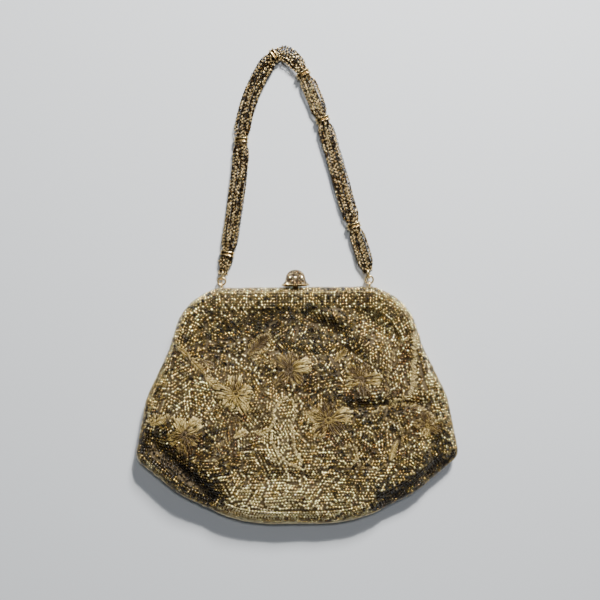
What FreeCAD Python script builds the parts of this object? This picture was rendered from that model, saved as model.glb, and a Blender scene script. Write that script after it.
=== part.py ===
"""Beaded evening bag with a metal clasp frame and a chain handle.

Millimetres.  The bag lies on its back: +X is to the right as the front is
seen, +Y points from the bag's bottom to its handle, and +Z points up, out of
the front.  The origin is on the back's flat rest face, under the middle of
the pouch.
"""

import FreeCAD
import Part
import math
import os

V = FreeCAD.Vector

# ---------------------------------------------------------------- driving sizes
TOP_Y = 80.0                 # top edge of the frame
BAG_HEIGHT = 156.5           # top edge to bottom edge
HALF_DEPTH = 7.75            # depth of one frame half with its cover
MEETING_GAP = 0.3            # air between the two closed halves
MIDDLE_Z = HALF_DEPTH + MEETING_GAP / 2
FRONT_Z = HALF_DEPTH + MEETING_GAP          # where the front half begins
CLOSED_DEPTH = FRONT_Z + HALF_DEPTH         # top of the front half

# Right half of the outline, as corners (x, distance below the top edge, radius).
OUTLINE_CORNERS = [
    (53.0, 0.0, 14.0),
    (75.0, 11.0, 34.0),
    (84.0, 40.0, 40.0),
    (100.0, 73.0, 45.0),
    (107.6, 112.5, 9.0),
    (79.0, 136.0, 60.0),
    (37.0, BAG_HEIGHT, 90.0),
]

HINGE_Y = 43.0               # the front half turns about this line
REAR_LEG_END_Y = 38.0
FRONT_LEG_END_Y = HINGE_Y + 0.2
COVER_WIDTH = 13.0           # width of the beaded band over the frame
COVER_THICKNESS = 1.4
CHANNEL_OUT = 1.5            # metal channel: how far in from the outline it starts
CHANNEL_IN = 10.0
SHEET = 1.2                  # thickness of the metal sheet
LIP = 1.8                    # depth of the channel's inner lip
STRIP_OUT = 3.5              # the strip that clamps the fabric in the channel
STRIP_IN = 8.0
STRIP_THICKNESS = 1.6

HINGE_PIN_RADIUS = 1.0
HINGE_RUNNING_GAP = 0.05
KNUCKLE_RADIUS = 2.3
FRONT_KNUCKLE_X = (72.6, 75.6)
REAR_KNUCKLE_X = (75.9, 78.9)

EYE_X = 50.0
EYE_Z = 3.5
WIRE_RADIUS = 0.6            # wire of eyes, rings and strand rings
EYE_RADIUS = 2.0             # centreline radius of the eye's loop
EYE_Y = TOP_Y + EYE_RADIUS + WIRE_RADIUS
RING_RADIUS = 2.6
LINK_GAP = 0.3               # air where two linked wires bear
RING_LOW_Y = EYE_Y + EYE_RADIUS - 2 * WIRE_RADIUS - LINK_GAP
RING_CENTRE_Y = RING_LOW_Y + RING_RADIUS
RING_TOP_Y = RING_CENTRE_Y + RING_RADIUS
STRAND_RING_HALF_WIDTH = 2.8
STRAND_RING_LENGTH = 6.4
STRAND_RING_LEAN = 12.0      # degrees, each leans towards the bag's middle
STRAND_RING_LOW_Y = RING_TOP_Y - 2 * WIRE_RADIUS - LINK_GAP

PANEL = 2.0                  # beaded fabric
LINING_OUT = 2.3             # lining, inside the panel
LINING_IN = 3.0
SEAM_Z = MIDDLE_Z
SPLIT_Y = 34.3               # upper edge of the fixed part of the front panel

# The chain handle lies on the floor, so its route is flat.
HANDLE_Z = 3.0
HANDLE_WIDTH = 11.5
HANDLE_THICKNESS = 4.8
NECK_WIDTH = 8.0             # the strands squeezed inside a collar
NECK_THICKNESS = 4.2
COLLAR_LENGTH = 3.4
FOLD_Y = 186.0               # the handle folds about this line
FOLD_GAP = 3.3
HANDLE_ROUTE = [
    (-48.7, 93.0),
    (-43.4, 115.0),
    (-40.3, 138.0),
    (-36.6, 163.0),
    (-35.6, 191.0),
    (-30.0, 210.0),
    (-22.0, 226.5),
    (-13.8, 238.8),
    (-5.5, 240.5),
    (2.0, 233.5),
    (7.5, 224.0),
    (14.0, 210.0),
    (21.5, 189.0),
    (29.5, 161.0),
    (34.6, 140.0),
    (42.0, 115.5),
    (48.7, 93.0),
]
# Distance along the route of each collar's middle, from the left end.
COLLAR_PLACES = {
    "collar_left_lower": 11.6,
    "collar_left_middle": 89.2,
    "collar_left_upper": 152.1,
    "collar_right_upper": 178.5,
    "collar_right_middle": 212.0,
    "collar_right_lower": 287.1,
}

CLASP_PIVOT = (73.4, 6.0)    # y, z
CLASP_PIN_RADIUS = 0.8
LEVER_HALF_WIDTH = 1.8
KNOB_BASE_Y = 81.5
FLANGE_RADIUS = 7.75
FLANGE_THICKNESS = 1.2
CAP_RADIUS = 7.0
CAP_HEIGHT = 10.0
STONE_RADIUS = 1.1

FAR = 400.0                  # larger than the bag, for cutting blocks


# ---------------------------------------------------------------- small helpers
def block(x0, x1, y0, y1, z0, z1):
    return Part.makeBox(x1 - x0, y1 - y0, z1 - z0, V(x0, y0, z0))


def rod(start, end, radius):
    a, b = V(*start), V(*end)
    return Part.makeCylinder(radius, (b - a).Length, a, b - a)


def mirrored(shape):
    return shape.mirror(V(0, 0, 0), V(1, 0, 0))


def joined(first, *others):
    return first.fuse(list(others)).removeSplitter()


def rounded_wire(corners):
    """Closed wire through (x, y, radius) corners in the XY plane."""
    tangents = []
    edges = []
    count = len(corners)
    for i in range(count):
        following = corners[(i + 1) % count]
        before = V(corners[i - 1][0], corners[i - 1][1], 0)
        here = V(corners[i][0], corners[i][1], 0)
        after = V(following[0], following[1], 0)
        radius = corners[i][2]
        u = (before - here).normalize()
        w = (after - here).normalize()
        half = u.getAngle(w) / 2
        start = here + u * (radius / math.tan(half))
        end = here + w * (radius / math.tan(half))
        middle = here + (u + w).normalize() * (radius / math.sin(half) - radius)
        tangents.append((start, end))
        if radius > 0:
            edges.append(Part.Arc(start, middle, end).toShape())
    for i in range(count):
        start, end = tangents[i][1], tangents[(i + 1) % count][0]
        edges.append(Part.LineSegment(start, end).toShape())
    return Part.Wire(Part.__sortEdges__(edges))


def inset_face(corners, inset):
    wire = rounded_wire(corners)
    if inset:
        wire = wire.makeOffset2D(-inset)
    return Part.Face(wire)


def plate(inset, z0, z1):
    """The bag's outline, moved in by inset, as a plate from z0 to z1."""
    right = [(x, TOP_Y - down, radius) for x, down, radius in OUTLINE_CORNERS]
    left = [(-x, y, radius) for x, y, radius in reversed(right)]
    face = inset_face(right + left, inset)
    face.translate(V(0, 0, z0))
    return face.extrude(V(0, 0, z1 - z0))


def band(inset_out, inset_in, z0, z1, end_y):
    """A band along the outline, above the line y = end_y."""
    ring = plate(inset_out, z0, z1).cut(plate(inset_in, z0, z1))
    return ring.common(block(-FAR, FAR, end_y, FAR, z0, z1))


# ---------------------------------------------------------------- frame halves
def frame_cover(front):
    """Beaded band: a skin over the outer face and a wall round the edge."""
    if front:
        skin = band(0, COVER_WIDTH, CLOSED_DEPTH - COVER_THICKNESS, CLOSED_DEPTH, FRONT_LEG_END_Y)
        wall = band(0, COVER_THICKNESS, FRONT_Z, CLOSED_DEPTH, FRONT_LEG_END_Y)
    else:
        skin = band(0, COVER_WIDTH, 0, COVER_THICKNESS, REAR_LEG_END_Y)
        wall = band(0, COVER_THICKNESS, 0, HALF_DEPTH, REAR_LEG_END_Y)
    return joined(skin, wall).cut(clasp_slot())


def channel(front):
    """Metal channel inside the cover: back plate, outer wall and inner lip."""
    lift = COVER_THICKNESS + 0.1
    if front:
        z1 = CLOSED_DEPTH - lift
        end_y = FRONT_LEG_END_Y
        back = band(CHANNEL_OUT, CHANNEL_IN, z1 - SHEET, z1, end_y)
        wall = band(CHANNEL_OUT, CHANNEL_OUT + SHEET, FRONT_Z, z1, end_y)
        lip = band(CHANNEL_IN - SHEET, CHANNEL_IN, z1 - SHEET - LIP, z1, end_y)
    else:
        end_y = REAR_LEG_END_Y
        back = band(CHANNEL_OUT, CHANNEL_IN, lift, lift + SHEET, end_y)
        wall = band(CHANNEL_OUT, CHANNEL_OUT + SHEET, lift, HALF_DEPTH, end_y)
        lip = band(CHANNEL_IN - SHEET, CHANNEL_IN, lift, lift + SHEET + LIP, end_y)
    lip = lip.cut(clasp_room())
    return joined(back, wall, lip).cut(clasp_slot())


def clasp_room():
    """Where the clasp works, inside both channels."""
    return block(-9, 9, 60, TOP_Y - CHANNEL_OUT - SHEET, COVER_THICKNESS + 1.3, CLOSED_DEPTH - 2.7)


def clasp_slot():
    """Slot through the top walls for the lever's stem."""
    return block(-2.4, 2.4, TOP_Y - 4, TOP_Y + 1, 3.6, 10.0)


def clamp_strip(front):
    """Strip that holds the fabric's edge down in the channel."""
    if front:
        z1 = CLOSED_DEPTH - COVER_THICKNESS - 0.1 - SHEET - 0.2
        strip = band(STRIP_OUT, STRIP_IN, z1 - STRIP_THICKNESS, z1, FRONT_LEG_END_Y + 8)
    else:
        z0 = COVER_THICKNESS + 0.1 + SHEET + 0.2
        strip = band(STRIP_OUT, STRIP_IN, z0, z0 + STRIP_THICKNESS, FRONT_LEG_END_Y + 8)
    return strip.cut(block(-9, 9, 0, FAR, 0, FAR))


def knuckle(x_range, web_y0, web_z0, web_z1, hole_radius):
    x0, x1 = x_range
    barrel = rod((x0, HINGE_Y, MIDDLE_Z), (x1, HINGE_Y, MIDDLE_Z), KNUCKLE_RADIUS)
    web = block(x0, x1, web_y0, HINGE_Y + 6, web_z0, web_z1)
    hole = rod((x0 - 1, HINGE_Y, MIDDLE_Z), (x1 + 1, HINGE_Y, MIDDLE_Z), hole_radius)
    return joined(barrel, web).cut(hole)


def rear_frame():
    ear = knuckle(REAR_KNUCKLE_X, REAR_LEG_END_Y, COVER_THICKNESS + 0.2, HALF_DEPTH, HINGE_PIN_RADIUS)
    shape = joined(channel(False), ear, mirrored(ear))
    for x in (-EYE_X, EYE_X):
        shape = shape.cut(eye_stem(x))
    return shape


def front_frame():
    hole = HINGE_PIN_RADIUS + HINGE_RUNNING_GAP
    ear = knuckle(FRONT_KNUCKLE_X, FRONT_LEG_END_Y, FRONT_Z, CLOSED_DEPTH - COVER_THICKNESS - 0.2, hole)
    return joined(channel(True), ear, mirrored(ear))


def rear_cover():
    shape = frame_cover(False)
    for x in (-EYE_X, EYE_X):
        shape = shape.cut(eye_stem(x))
    return shape


def hinge_pin():
    x0, x1 = FRONT_KNUCKLE_X[0] - 0.4, REAR_KNUCKLE_X[1] + 0.4
    return rod((x0, HINGE_Y, MIDDLE_Z), (x1, HINGE_Y, MIDDLE_Z), HINGE_PIN_RADIUS)


# ---------------------------------------------------------------- eyes and rings
def eye_stem(x):
    return rod((x, TOP_Y - 3.2, EYE_Z), (x, TOP_Y + 0.6, EYE_Z), 0.9)


def frame_eye(x):
    loop = Part.makeTorus(EYE_RADIUS, WIRE_RADIUS, V(x, EYE_Y, EYE_Z), V(1, 0, 0))
    return joined(loop, eye_stem(x))


def handle_ring(x):
    return Part.makeTorus(RING_RADIUS, WIRE_RADIUS, V(x, RING_CENTRE_Y, EYE_Z), V(0, 0, 1))


def strand_ring(x):
    """Long oval link that stands on edge and leans towards the middle."""
    half = STRAND_RING_HALF_WIDTH
    low = V(0, half, 0)
    high = V(0, STRAND_RING_LENGTH - half, 0)
    pieces = []
    for centre, turn in ((low, -180), (high, 180)):
        wire = Part.Wire(Part.makeCircle(WIRE_RADIUS, centre + V(0, 0, half), V(0, 1, 0)))
        pieces.append(Part.Face(wire).revolve(centre, V(1, 0, 0), -turn))
    for side in (-half, half):
        pieces.append(rod(tuple(low + V(0, 0, side)), tuple(high + V(0, 0, side)), WIRE_RADIUS))
    shape = joined(*pieces)
    lean = STRAND_RING_LEAN if x < 0 else -STRAND_RING_LEAN
    shape.rotate(V(0, 0, 0), V(0, 0, 1), -lean)
    shape.translate(V(x, STRAND_RING_LOW_Y, EYE_Z))
    return shape


# ---------------------------------------------------------------- chain handle
def route_edges(points):
    """Straight runs joined by tangent arcs, as edges in order."""
    knots = [V(x, y, HANDLE_Z) for x, y in points]
    edges = []
    last = knots[0]
    for before, here, after in zip(knots, knots[1:], knots[2:]):
        shorter = min((here - before).Length, (after - here).Length)
        u = (before - here).normalize()
        w = (after - here).normalize()
        half = u.getAngle(w) / 2
        tangent = 0.45 * shorter
        radius = tangent * math.tan(half)
        start, end = here + u * tangent, here + w * tangent
        middle = here + (u + w).normalize() * (radius / math.sin(half) - radius)
        edges.append(Part.LineSegment(last, start).toShape())
        edges.append(Part.Arc(start, middle, end).toShape())
        last = end
    edges.append(Part.LineSegment(last, knots[-1]).toShape())
    return edges


def stretch(edges, start, end):
    """The part of the route between two distances along it."""
    kept = []
    passed = 0.0
    for edge in edges:
        low, high = max(start - passed, 0), min(end - passed, edge.Length)
        if high - low > 1e-4:
            first = edge.getParameterByLength(low)
            final = edge.getParameterByLength(high)
            kept.append(edge.Curve.toShape(first, final))
        passed += edge.Length
    return Part.Wire(kept)


def ribbon(edges, start, end, width, thickness):
    """A flat strap of the given section along part of the route."""
    path = stretch(edges, start, end)
    first = path.OrderedEdges[0]
    origin = first.valueAt(first.FirstParameter)
    along = first.tangentAt(first.FirstParameter)
    side = V(0, 0, 1).cross(along) * (width / 2)
    up = V(0, 0, thickness / 2)
    corners = [origin - side - up, origin + side - up, origin + side + up, origin - side + up]
    section = Part.makePolygon(corners + corners[:1])
    shell = Part.BRepOffsetAPI.MakePipeShell(path)
    shell.setBiNormalMode(V(0, 0, 1))
    shell.add(section)
    shell.build()
    shell.makeSolid()
    return shell.shape()


def strands(edges, start, end, neck_start, neck_end):
    """Chain strands between two collars, squeezed to a neck inside each."""
    half = COLLAR_LENGTH / 2
    wide_start = start + half if neck_start else start
    wide_end = end - half if neck_end else end
    pieces = [ribbon(edges, wide_start, wide_end, HANDLE_WIDTH, HANDLE_THICKNESS)]
    if neck_start:
        pieces.append(ribbon(edges, start, wide_start, NECK_WIDTH, NECK_THICKNESS))
    if neck_end:
        pieces.append(ribbon(edges, wide_end, end, NECK_WIDTH, NECK_THICKNESS))
    return joined(*pieces) if len(pieces) > 1 else pieces[0]


def collar(edges, place):
    """Sleeve with a raised ridge at each end."""
    half = COLLAR_LENGTH / 2
    ridge = 0.9
    sleeve = ribbon(edges, place - half, place + half, NECK_WIDTH + 1.2, NECK_THICKNESS + 1.2)
    ends = [(place - half, place - half + ridge), (place + half - ridge, place + half)]
    ridges = [ribbon(edges, a, b, NECK_WIDTH + 1.8, NECK_THICKNESS + 1.8) for a, b in ends]
    hole = ribbon(edges, place - half, place + half, NECK_WIDTH, NECK_THICKNESS)
    return joined(sleeve, *ridges).cut(hole)


def handle_nodes():
    edges = route_edges(HANDLE_ROUTE)
    total = sum(edge.Length for edge in edges)
    places = COLLAR_PLACES
    names = list(places)
    stops = [0.0] + [places[name] for name in names] + [total]
    labels = [
        "strands_left_lower", "strands_left_middle", "strands_left_upper", "strands_top",
        "strands_right_upper", "strands_right_middle", "strands_right_lower",
    ]
    nodes = {}
    for i, label in enumerate(labels):
        shape = strands(edges, stops[i], stops[i + 1], i > 0, i < len(labels) - 1)
        nodes[label] = shape
    below = block(-FAR, FAR, -FAR, FOLD_Y - FOLD_GAP, -FAR, FAR)
    above = block(-FAR, FAR, FOLD_Y + FOLD_GAP, FAR, -FAR, FAR)
    nodes["strands_left_upper"] = nodes["strands_left_upper"].common(above)
    nodes["strands_right_fold"] = nodes["strands_right_middle"].common(above)
    nodes["strands_right_middle"] = nodes["strands_right_middle"].common(below)
    for name in names:
        nodes[name] = collar(edges, places[name])
    return nodes


# ---------------------------------------------------------------- pouch
# Side view (y, z, radius) and end view (x, z, radius) of the filled pouch.
POUCH_SIDE = [
    (TOP_Y - BAG_HEIGHT, 0.0, 0.0),
    (66.0, 0.0, 0.0),
    (66.0, 13.0, 0.0),
    (34.0, 13.0, 30.0),
    (2.0, 20.5, 60.0),
    (-42.0, 23.0, 40.0),
    (-69.0, 17.5, 12.0),
    (TOP_Y - BAG_HEIGHT, 9.0, 4.0),
]
POUCH_END = [
    (-108.0, 0.0, 0.0),
    (108.0, 0.0, 0.0),
    (108.0, 9.0, 4.0),
    (94.0, 18.0, 25.0),
    (50.0, 24.0, 60.0),
    (-50.0, 24.0, 60.0),
    (-94.0, 18.0, 25.0),
    (-108.0, 9.0, 4.0),
]


def pouch(inset):
    """The filled pouch's solid shape, with every wall moved in by inset."""
    side = inset_face(POUCH_SIDE, inset)
    side.rotate(V(0, 0, 0), V(1, 0, 0), 90)
    side.rotate(V(0, 0, 0), V(0, 0, 1), 90)
    side.translate(V(-FAR / 2, 0, 0))
    end = inset_face(POUCH_END, inset)
    end.rotate(V(0, 0, 0), V(1, 0, 0), 90)
    end.translate(V(0, FAR / 2, 0))
    return plate(inset, 0, 30).common(side.extrude(V(FAR, 0, 0))).common(end.extrude(V(0, -FAR, 0)))


def pouch_wall(outer, inner, z0, z1, end_y):
    """Wall of the pouch between two insets, cut by heights and its upper edge."""
    wall = pouch(outer).cut(pouch(inner))
    return wall.common(block(-FAR, FAR, -FAR, end_y, z0, z1))


def throat(inset, z0, z1, start_y):
    """Flat fabric inside the frame's arch."""
    return plate(COVER_WIDTH + 0.3 + inset, z0, z1).common(block(-FAR, FAR, start_y, FAR, z0, z1))


def rear_panel():
    wall = pouch_wall(0, PANEL, 0, SEAM_Z, REAR_LEG_END_Y - 0.3)
    return joined(wall, throat(0, 0, PANEL, REAR_LEG_END_Y - 0.3))


def rear_lining():
    wall = pouch_wall(LINING_OUT, LINING_IN, 0, SEAM_Z, REAR_LEG_END_Y - 0.3)
    return joined(wall, throat(0, LINING_OUT, LINING_IN, REAR_LEG_END_Y - 0.3))


def lining_pocket():
    """Small open-topped slip pocket sewn to the rear lining."""
    z0 = LINING_IN + 0.1
    outer = block(-34, 34, -28, 16, z0, z0 + 1.6)
    return outer.cut(block(-33, 33, -27, 17, z0 + 0.5, z0 + 1.1))


def front_upper(inset, z0, z1):
    return throat(inset, z0, z1, HINGE_Y + 1.5)


# ---------------------------------------------------------------- clasp
def clasp_bracket():
    y, z = CLASP_PIVOT
    floor = COVER_THICKNESS + 0.1 + SHEET
    base = block(-6, 6, y - 3.0, y + 3.0, floor, floor + 0.6)
    ear = block(2.1, 3.1, y - 2.0, y + 2.0, floor, z).fuse(rod((2.1, y, z), (3.1, y, z), 2.0))
    hole = rod((-9, y, z), (9, y, z), CLASP_PIN_RADIUS)
    return joined(base, ear, mirrored(ear)).cut(hole)


def clasp_pivot_pin():
    y, z = CLASP_PIVOT
    return rod((-3.5, y, z), (3.5, y, z), CLASP_PIN_RADIUS)


def clasp_lever():
    """Hub, stem up to the knob, and the hook that reaches over the keeper."""
    y, z = CLASP_PIVOT
    w = LEVER_HALF_WIDTH
    hub = rod((-w, y, z), (w, y, z), 2.0)
    stem = block(-w, w, y, KNOB_BASE_Y, z + 0.4, z + 3.4)
    arm = block(-w, w, y + 0.2, y + 1.6, z, z + 6.4)
    barb = block(-w, w, y - 0.8, y + 0.4, z + 5.2, z + 6.4)
    hole = rod((-9, y, z), (9, y, z), CLASP_PIN_RADIUS + HINGE_RUNNING_GAP)
    return joined(hub, stem, arm, barb).cut(hole)


def clasp_spring():
    """Leaf under the lever's hub."""
    y, z = CLASP_PIVOT
    floor = COVER_THICKNESS + 0.1 + SHEET
    foot = block(-1.5, 1.5, y - 6.5, y - 3.2, floor, floor + 0.4)
    rise = block(-1.5, 1.5, y - 3.6, y - 3.2, floor, z - 2.6)
    leaf = block(-1.5, 1.5, y - 3.6, y + 1.0, z - 2.6, z - 2.2)
    return joined(foot, rise, leaf)


def clasp_flange():
    y0 = KNOB_BASE_Y
    return rod((0, y0, MIDDLE_Z), (0, y0 + FLANGE_THICKNESS, MIDDLE_Z), FLANGE_RADIUS)


def cap_point(rise, around):
    """Point on the cap's dome: rise 0 at its foot and 90 at its top, in degrees."""
    base = KNOB_BASE_Y + FLANGE_THICKNESS + 1.0
    reach = CAP_RADIUS * math.cos(math.radians(rise))
    up = (CAP_HEIGHT - 1.0) * math.sin(math.radians(rise))
    a = math.radians(around)
    return V(reach * math.cos(a), base + up, MIDDLE_Z + reach * math.sin(a))


def clasp_cap():
    foot = KNOB_BASE_Y + FLANGE_THICKNESS
    start, rim = cap_point(0, 0), cap_point(84, 0)
    arc = Part.Arc(start, cap_point(45, 0), rim).toShape()
    top = V(0, rim.y, MIDDLE_Z)
    corner = V(start.x, foot, MIDDLE_Z)
    centre = V(0, foot, MIDDLE_Z)
    lines = [(rim, top), (top, centre), (centre, corner), (corner, start)]
    edges = [arc] + [Part.LineSegment(a, b).toShape() for a, b in lines]
    return Part.Face(Part.Wire(edges)).revolve(centre, V(0, 1, 0), 360)


def clasp_stones():
    """Rows of small round stones set into the cap."""
    stones = []
    for rise, count in ((8, 14), (34, 11), (60, 6)):
        for i in range(count):
            centre = cap_point(rise, 360.0 * i / count + rise)
            stones.append(Part.makeSphere(STONE_RADIUS, centre))
    stones.append(Part.makeSphere(STONE_RADIUS, cap_point(90, 0)))
    return Part.makeCompound(stones)


def clasp_keeper():
    """Catch bar that the hook reaches over, riveted in the front channel."""
    y, z = CLASP_PIVOT
    under = CLOSED_DEPTH - COVER_THICKNESS - 0.1 - SHEET
    bar = block(-5.5, 5.5, y - 3.2, y - 1.2, z + 3.4, under)
    return bar.cut(keeper_rivets())


def keeper_rivets():
    y = CLASP_PIVOT[0] - 2.2
    top = CLOSED_DEPTH - COVER_THICKNESS - 0.1
    return Part.makeCompound([rod((x, y, top - 3.6), (x, y, top), 0.6) for x in (-4.0, 4.0)])


# ---------------------------------------------------------------- all the pieces
def all_nodes():
    front_upper_end = POUCH_SIDE[2][1]
    nodes = {
        "rear_frame": rear_frame(),
        "front_frame": front_frame().cut(keeper_rivets()),
        "rear_frame_cover": rear_cover(),
        "front_frame_cover": frame_cover(True),
        "rear_clamp_strip": clamp_strip(False),
        "front_clamp_strip": clamp_strip(True),
        "hinge_pin_left": mirrored(hinge_pin()),
        "hinge_pin_right": hinge_pin(),
        "frame_eye_left": frame_eye(-EYE_X),
        "frame_eye_right": frame_eye(EYE_X),
        "handle_ring_left": handle_ring(-EYE_X),
        "handle_ring_right": handle_ring(EYE_X),
        "strand_ring_left": strand_ring(-EYE_X),
        "strand_ring_right": strand_ring(EYE_X),
        "rear_panel": rear_panel(),
        "front_panel_lower": pouch_wall(0, PANEL, SEAM_Z + 0.05, 30, SPLIT_Y),
        "front_panel_upper": front_upper(0, front_upper_end - PANEL, front_upper_end),
        "lining_rear": rear_lining(),
        "lining_front_lower": pouch_wall(LINING_OUT, LINING_IN, SEAM_Z + 0.05, 30, SPLIT_Y),
        "lining_front_upper": front_upper(0, front_upper_end - LINING_IN, front_upper_end - LINING_OUT),
        "lining_pocket": lining_pocket(),
        "clasp_bracket": clasp_bracket(),
        "clasp_pivot_pin": clasp_pivot_pin(),
        "clasp_spring": clasp_spring(),
        "clasp_lever": clasp_lever(),
        "clasp_flange": clasp_flange(),
        "clasp_cap": clasp_cap(),
        "clasp_stones": clasp_stones(),
        "clasp_keeper": clasp_keeper(),
        "keeper_rivets": keeper_rivets(),
    }
    nodes.update(handle_nodes())
    return nodes


os.makedirs("parts", exist_ok=True)
for node, shape in all_nodes().items():
    if not shape.isValid() or shape.Volume <= 0:
        print("check", node, "valid", shape.isValid(), "volume", shape.Volume)
    shape.exportStep("parts/%s.step" % node)
print("wrote", len(os.listdir("parts")), "nodes")
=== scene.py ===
"""Beaded evening bag: beads, satin-thread flowers, chains, lining and light.

Lengths below are in millimetres in the bag's own frame; meshes are scaled to
metres as they are built.  The bag lies on its back on the floor at z = 0.
"""
import math

import bpy
import numpy as np
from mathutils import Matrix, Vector


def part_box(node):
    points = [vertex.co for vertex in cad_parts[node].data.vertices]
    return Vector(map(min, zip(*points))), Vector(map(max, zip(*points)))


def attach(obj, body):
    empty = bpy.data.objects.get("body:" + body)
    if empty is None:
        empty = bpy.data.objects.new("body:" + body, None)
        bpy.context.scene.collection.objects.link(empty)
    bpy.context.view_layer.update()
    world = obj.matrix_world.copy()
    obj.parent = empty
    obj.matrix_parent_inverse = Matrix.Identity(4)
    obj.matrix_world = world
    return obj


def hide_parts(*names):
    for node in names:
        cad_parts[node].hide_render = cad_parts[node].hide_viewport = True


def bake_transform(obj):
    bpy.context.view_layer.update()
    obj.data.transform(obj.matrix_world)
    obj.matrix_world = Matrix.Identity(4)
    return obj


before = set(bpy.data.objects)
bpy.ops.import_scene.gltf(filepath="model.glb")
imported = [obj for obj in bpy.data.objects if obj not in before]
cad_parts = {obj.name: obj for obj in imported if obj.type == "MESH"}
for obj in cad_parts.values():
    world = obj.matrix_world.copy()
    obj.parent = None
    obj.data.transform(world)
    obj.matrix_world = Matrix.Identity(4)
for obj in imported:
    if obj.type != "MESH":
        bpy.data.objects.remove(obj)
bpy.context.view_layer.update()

MM = 0.001

# ---------------------------------------------------------------- shared sizes
TOP_Y = 80.0
BAG_HEIGHT = 156.5
OUTLINE_CORNERS = [          # right half: x, distance below the top edge, radius
    (53.0, 0.0, 14.0),
    (75.0, 11.0, 34.0),
    (84.0, 40.0, 40.0),
    (100.0, 73.0, 45.0),
    (107.6, 112.5, 9.0),
    (79.0, 136.0, 60.0),
    (37.0, BAG_HEIGHT, 90.0),
]
MIDDLE_Z = 7.9               # where the two frame halves meet
HINGE_Y = 43.0
BAND_WIDTH = 13.0            # beaded band over the frame

BEAD_LENGTH = 1.85
BEAD_RADIUS = 0.93
BEAD_PITCH = 2.0
ROW_PITCH = 1.92
FRONT_ROLL = 14.0            # how far in from the outline the front rolls over
BAND_ROLL = 5.0
BAND_TOP = 16.0
OUTSET = 0.35                # bead centres stand this far outside the outline
REAR_ROLL = 7.5
TOP_FACE = 4.0               # depth of the frame's top, where the fittings come out
STEM_ROOM = 3.0              # half width of the clasp stem's slot
EYE_X, EYE_Z = 50.0, 3.5     # where the handle's eyes stand
EYE_ROOM = 1.7
EDGE_ROWS_DEPTH = 9.0        # rows follow the outline this far in
REAR_BEAD_Z = 1.0            # bead centres of the flat back

RANDOM = np.random.default_rng(11)


# ---------------------------------------------------------------- outline
def rounded_points(corners, spacing=0.5):
    """Closed line through (x, y, radius) corners, as close points."""
    points = []
    count = len(corners)
    for i in range(count):
        here = np.array(corners[i][:2], float)
        u = np.array(corners[i - 1][:2], float) - here
        w = np.array(corners[(i + 1) % count][:2], float) - here
        u /= np.linalg.norm(u)
        w /= np.linalg.norm(w)
        half = math.acos(np.clip(u @ w, -1, 1)) / 2
        radius = corners[i][2]
        centre = here + (u + w) / np.linalg.norm(u + w) * (radius / math.sin(half))
        start = here + u * radius / math.tan(half) - centre
        end = here + w * radius / math.tan(half) - centre
        first = math.atan2(start[1], start[0])
        turn = (math.atan2(end[1], end[0]) - first + math.pi) % (2 * math.pi) - math.pi
        steps = max(3, int(abs(turn) * radius / spacing))
        for k in range(steps + 1):
            a = first + turn * k / steps
            points.append(centre + radius * np.array([math.cos(a), math.sin(a)]))
    return resampled(np.array(points + points[:1]), spacing)


def along_line(line):
    """Distance along a line at each of its points."""
    steps = np.linalg.norm(np.diff(line, axis=0), axis=1)
    return np.concatenate([[0], np.cumsum(steps)])


def interpolated(place, along, line):
    """Points of a line at given distances along it."""
    return np.stack([np.interp(place, along, line[:, k]) for k in range(line.shape[1])], axis=-1)


def resampled(line, spacing):
    """The same line with evenly spaced points."""
    along = along_line(line)
    count = max(2, int(round(along[-1] / spacing)))
    places = np.linspace(0, along[-1], count + 1)
    return interpolated(places, along, line)


RIGHT = [(x, TOP_Y - down, r) for x, down, r in OUTLINE_CORNERS]
LEFT = [(-x, y, r) for x, y, r in reversed(RIGHT)]
OUTLINE = rounded_points(RIGHT + LEFT)[:-1]


def unit(vectors):
    """The same vectors, each of length one."""
    return vectors / np.linalg.norm(vectors, axis=-1)[..., None]


def inward_normals(line):
    """Unit normals of a closed line, pointing into the bag."""
    tangent = unit(np.roll(line, -1, axis=0) - np.roll(line, 1, axis=0))
    return np.stack([tangent[:, 1], -tangent[:, 0]], axis=1)


NORMALS = inward_normals(OUTLINE)


def depth_inside(x, y):
    """Distance in from the outline; negative outside it."""
    x, y = np.broadcast_arrays(np.asarray(x, float), np.asarray(y, float))
    flat = np.stack([x.ravel(), y.ravel()], axis=1)
    result = np.empty(len(flat))
    for start in range(0, len(flat), 4000):
        part = flat[start:start + 4000]
        gaps = part[:, None, :] - OUTLINE[None, :, :]
        squares = (gaps ** 2).sum(axis=2)
        nearest = squares.argmin(axis=1)
        rows = np.arange(len(part))
        side = (gaps[rows, nearest] * NORMALS[nearest]).sum(axis=1)
        result[start:start + 4000] = np.sign(side) * np.sqrt(squares[rows, nearest])
    return result.reshape(x.shape)


# ---------------------------------------------------------------- the pouch's surface
# Height of the front along the middle, from the band down to the bottom: (y, z).
MIDDLE_PROFILE = [
    (-80.0, 16.0), (-68.0, 18.5), (-52.0, 21.5), (-35.0, 22.3), (-15.0, 21.0),
    (5.0, 19.5), (22.0, 17.5), (36.0, 15.4), (46.0, 13.9), (56.0, 13.8), (66.0, 15.8),
]
FOLD_STRENGTH = 1.25         # every fold's height is multiplied by this
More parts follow.
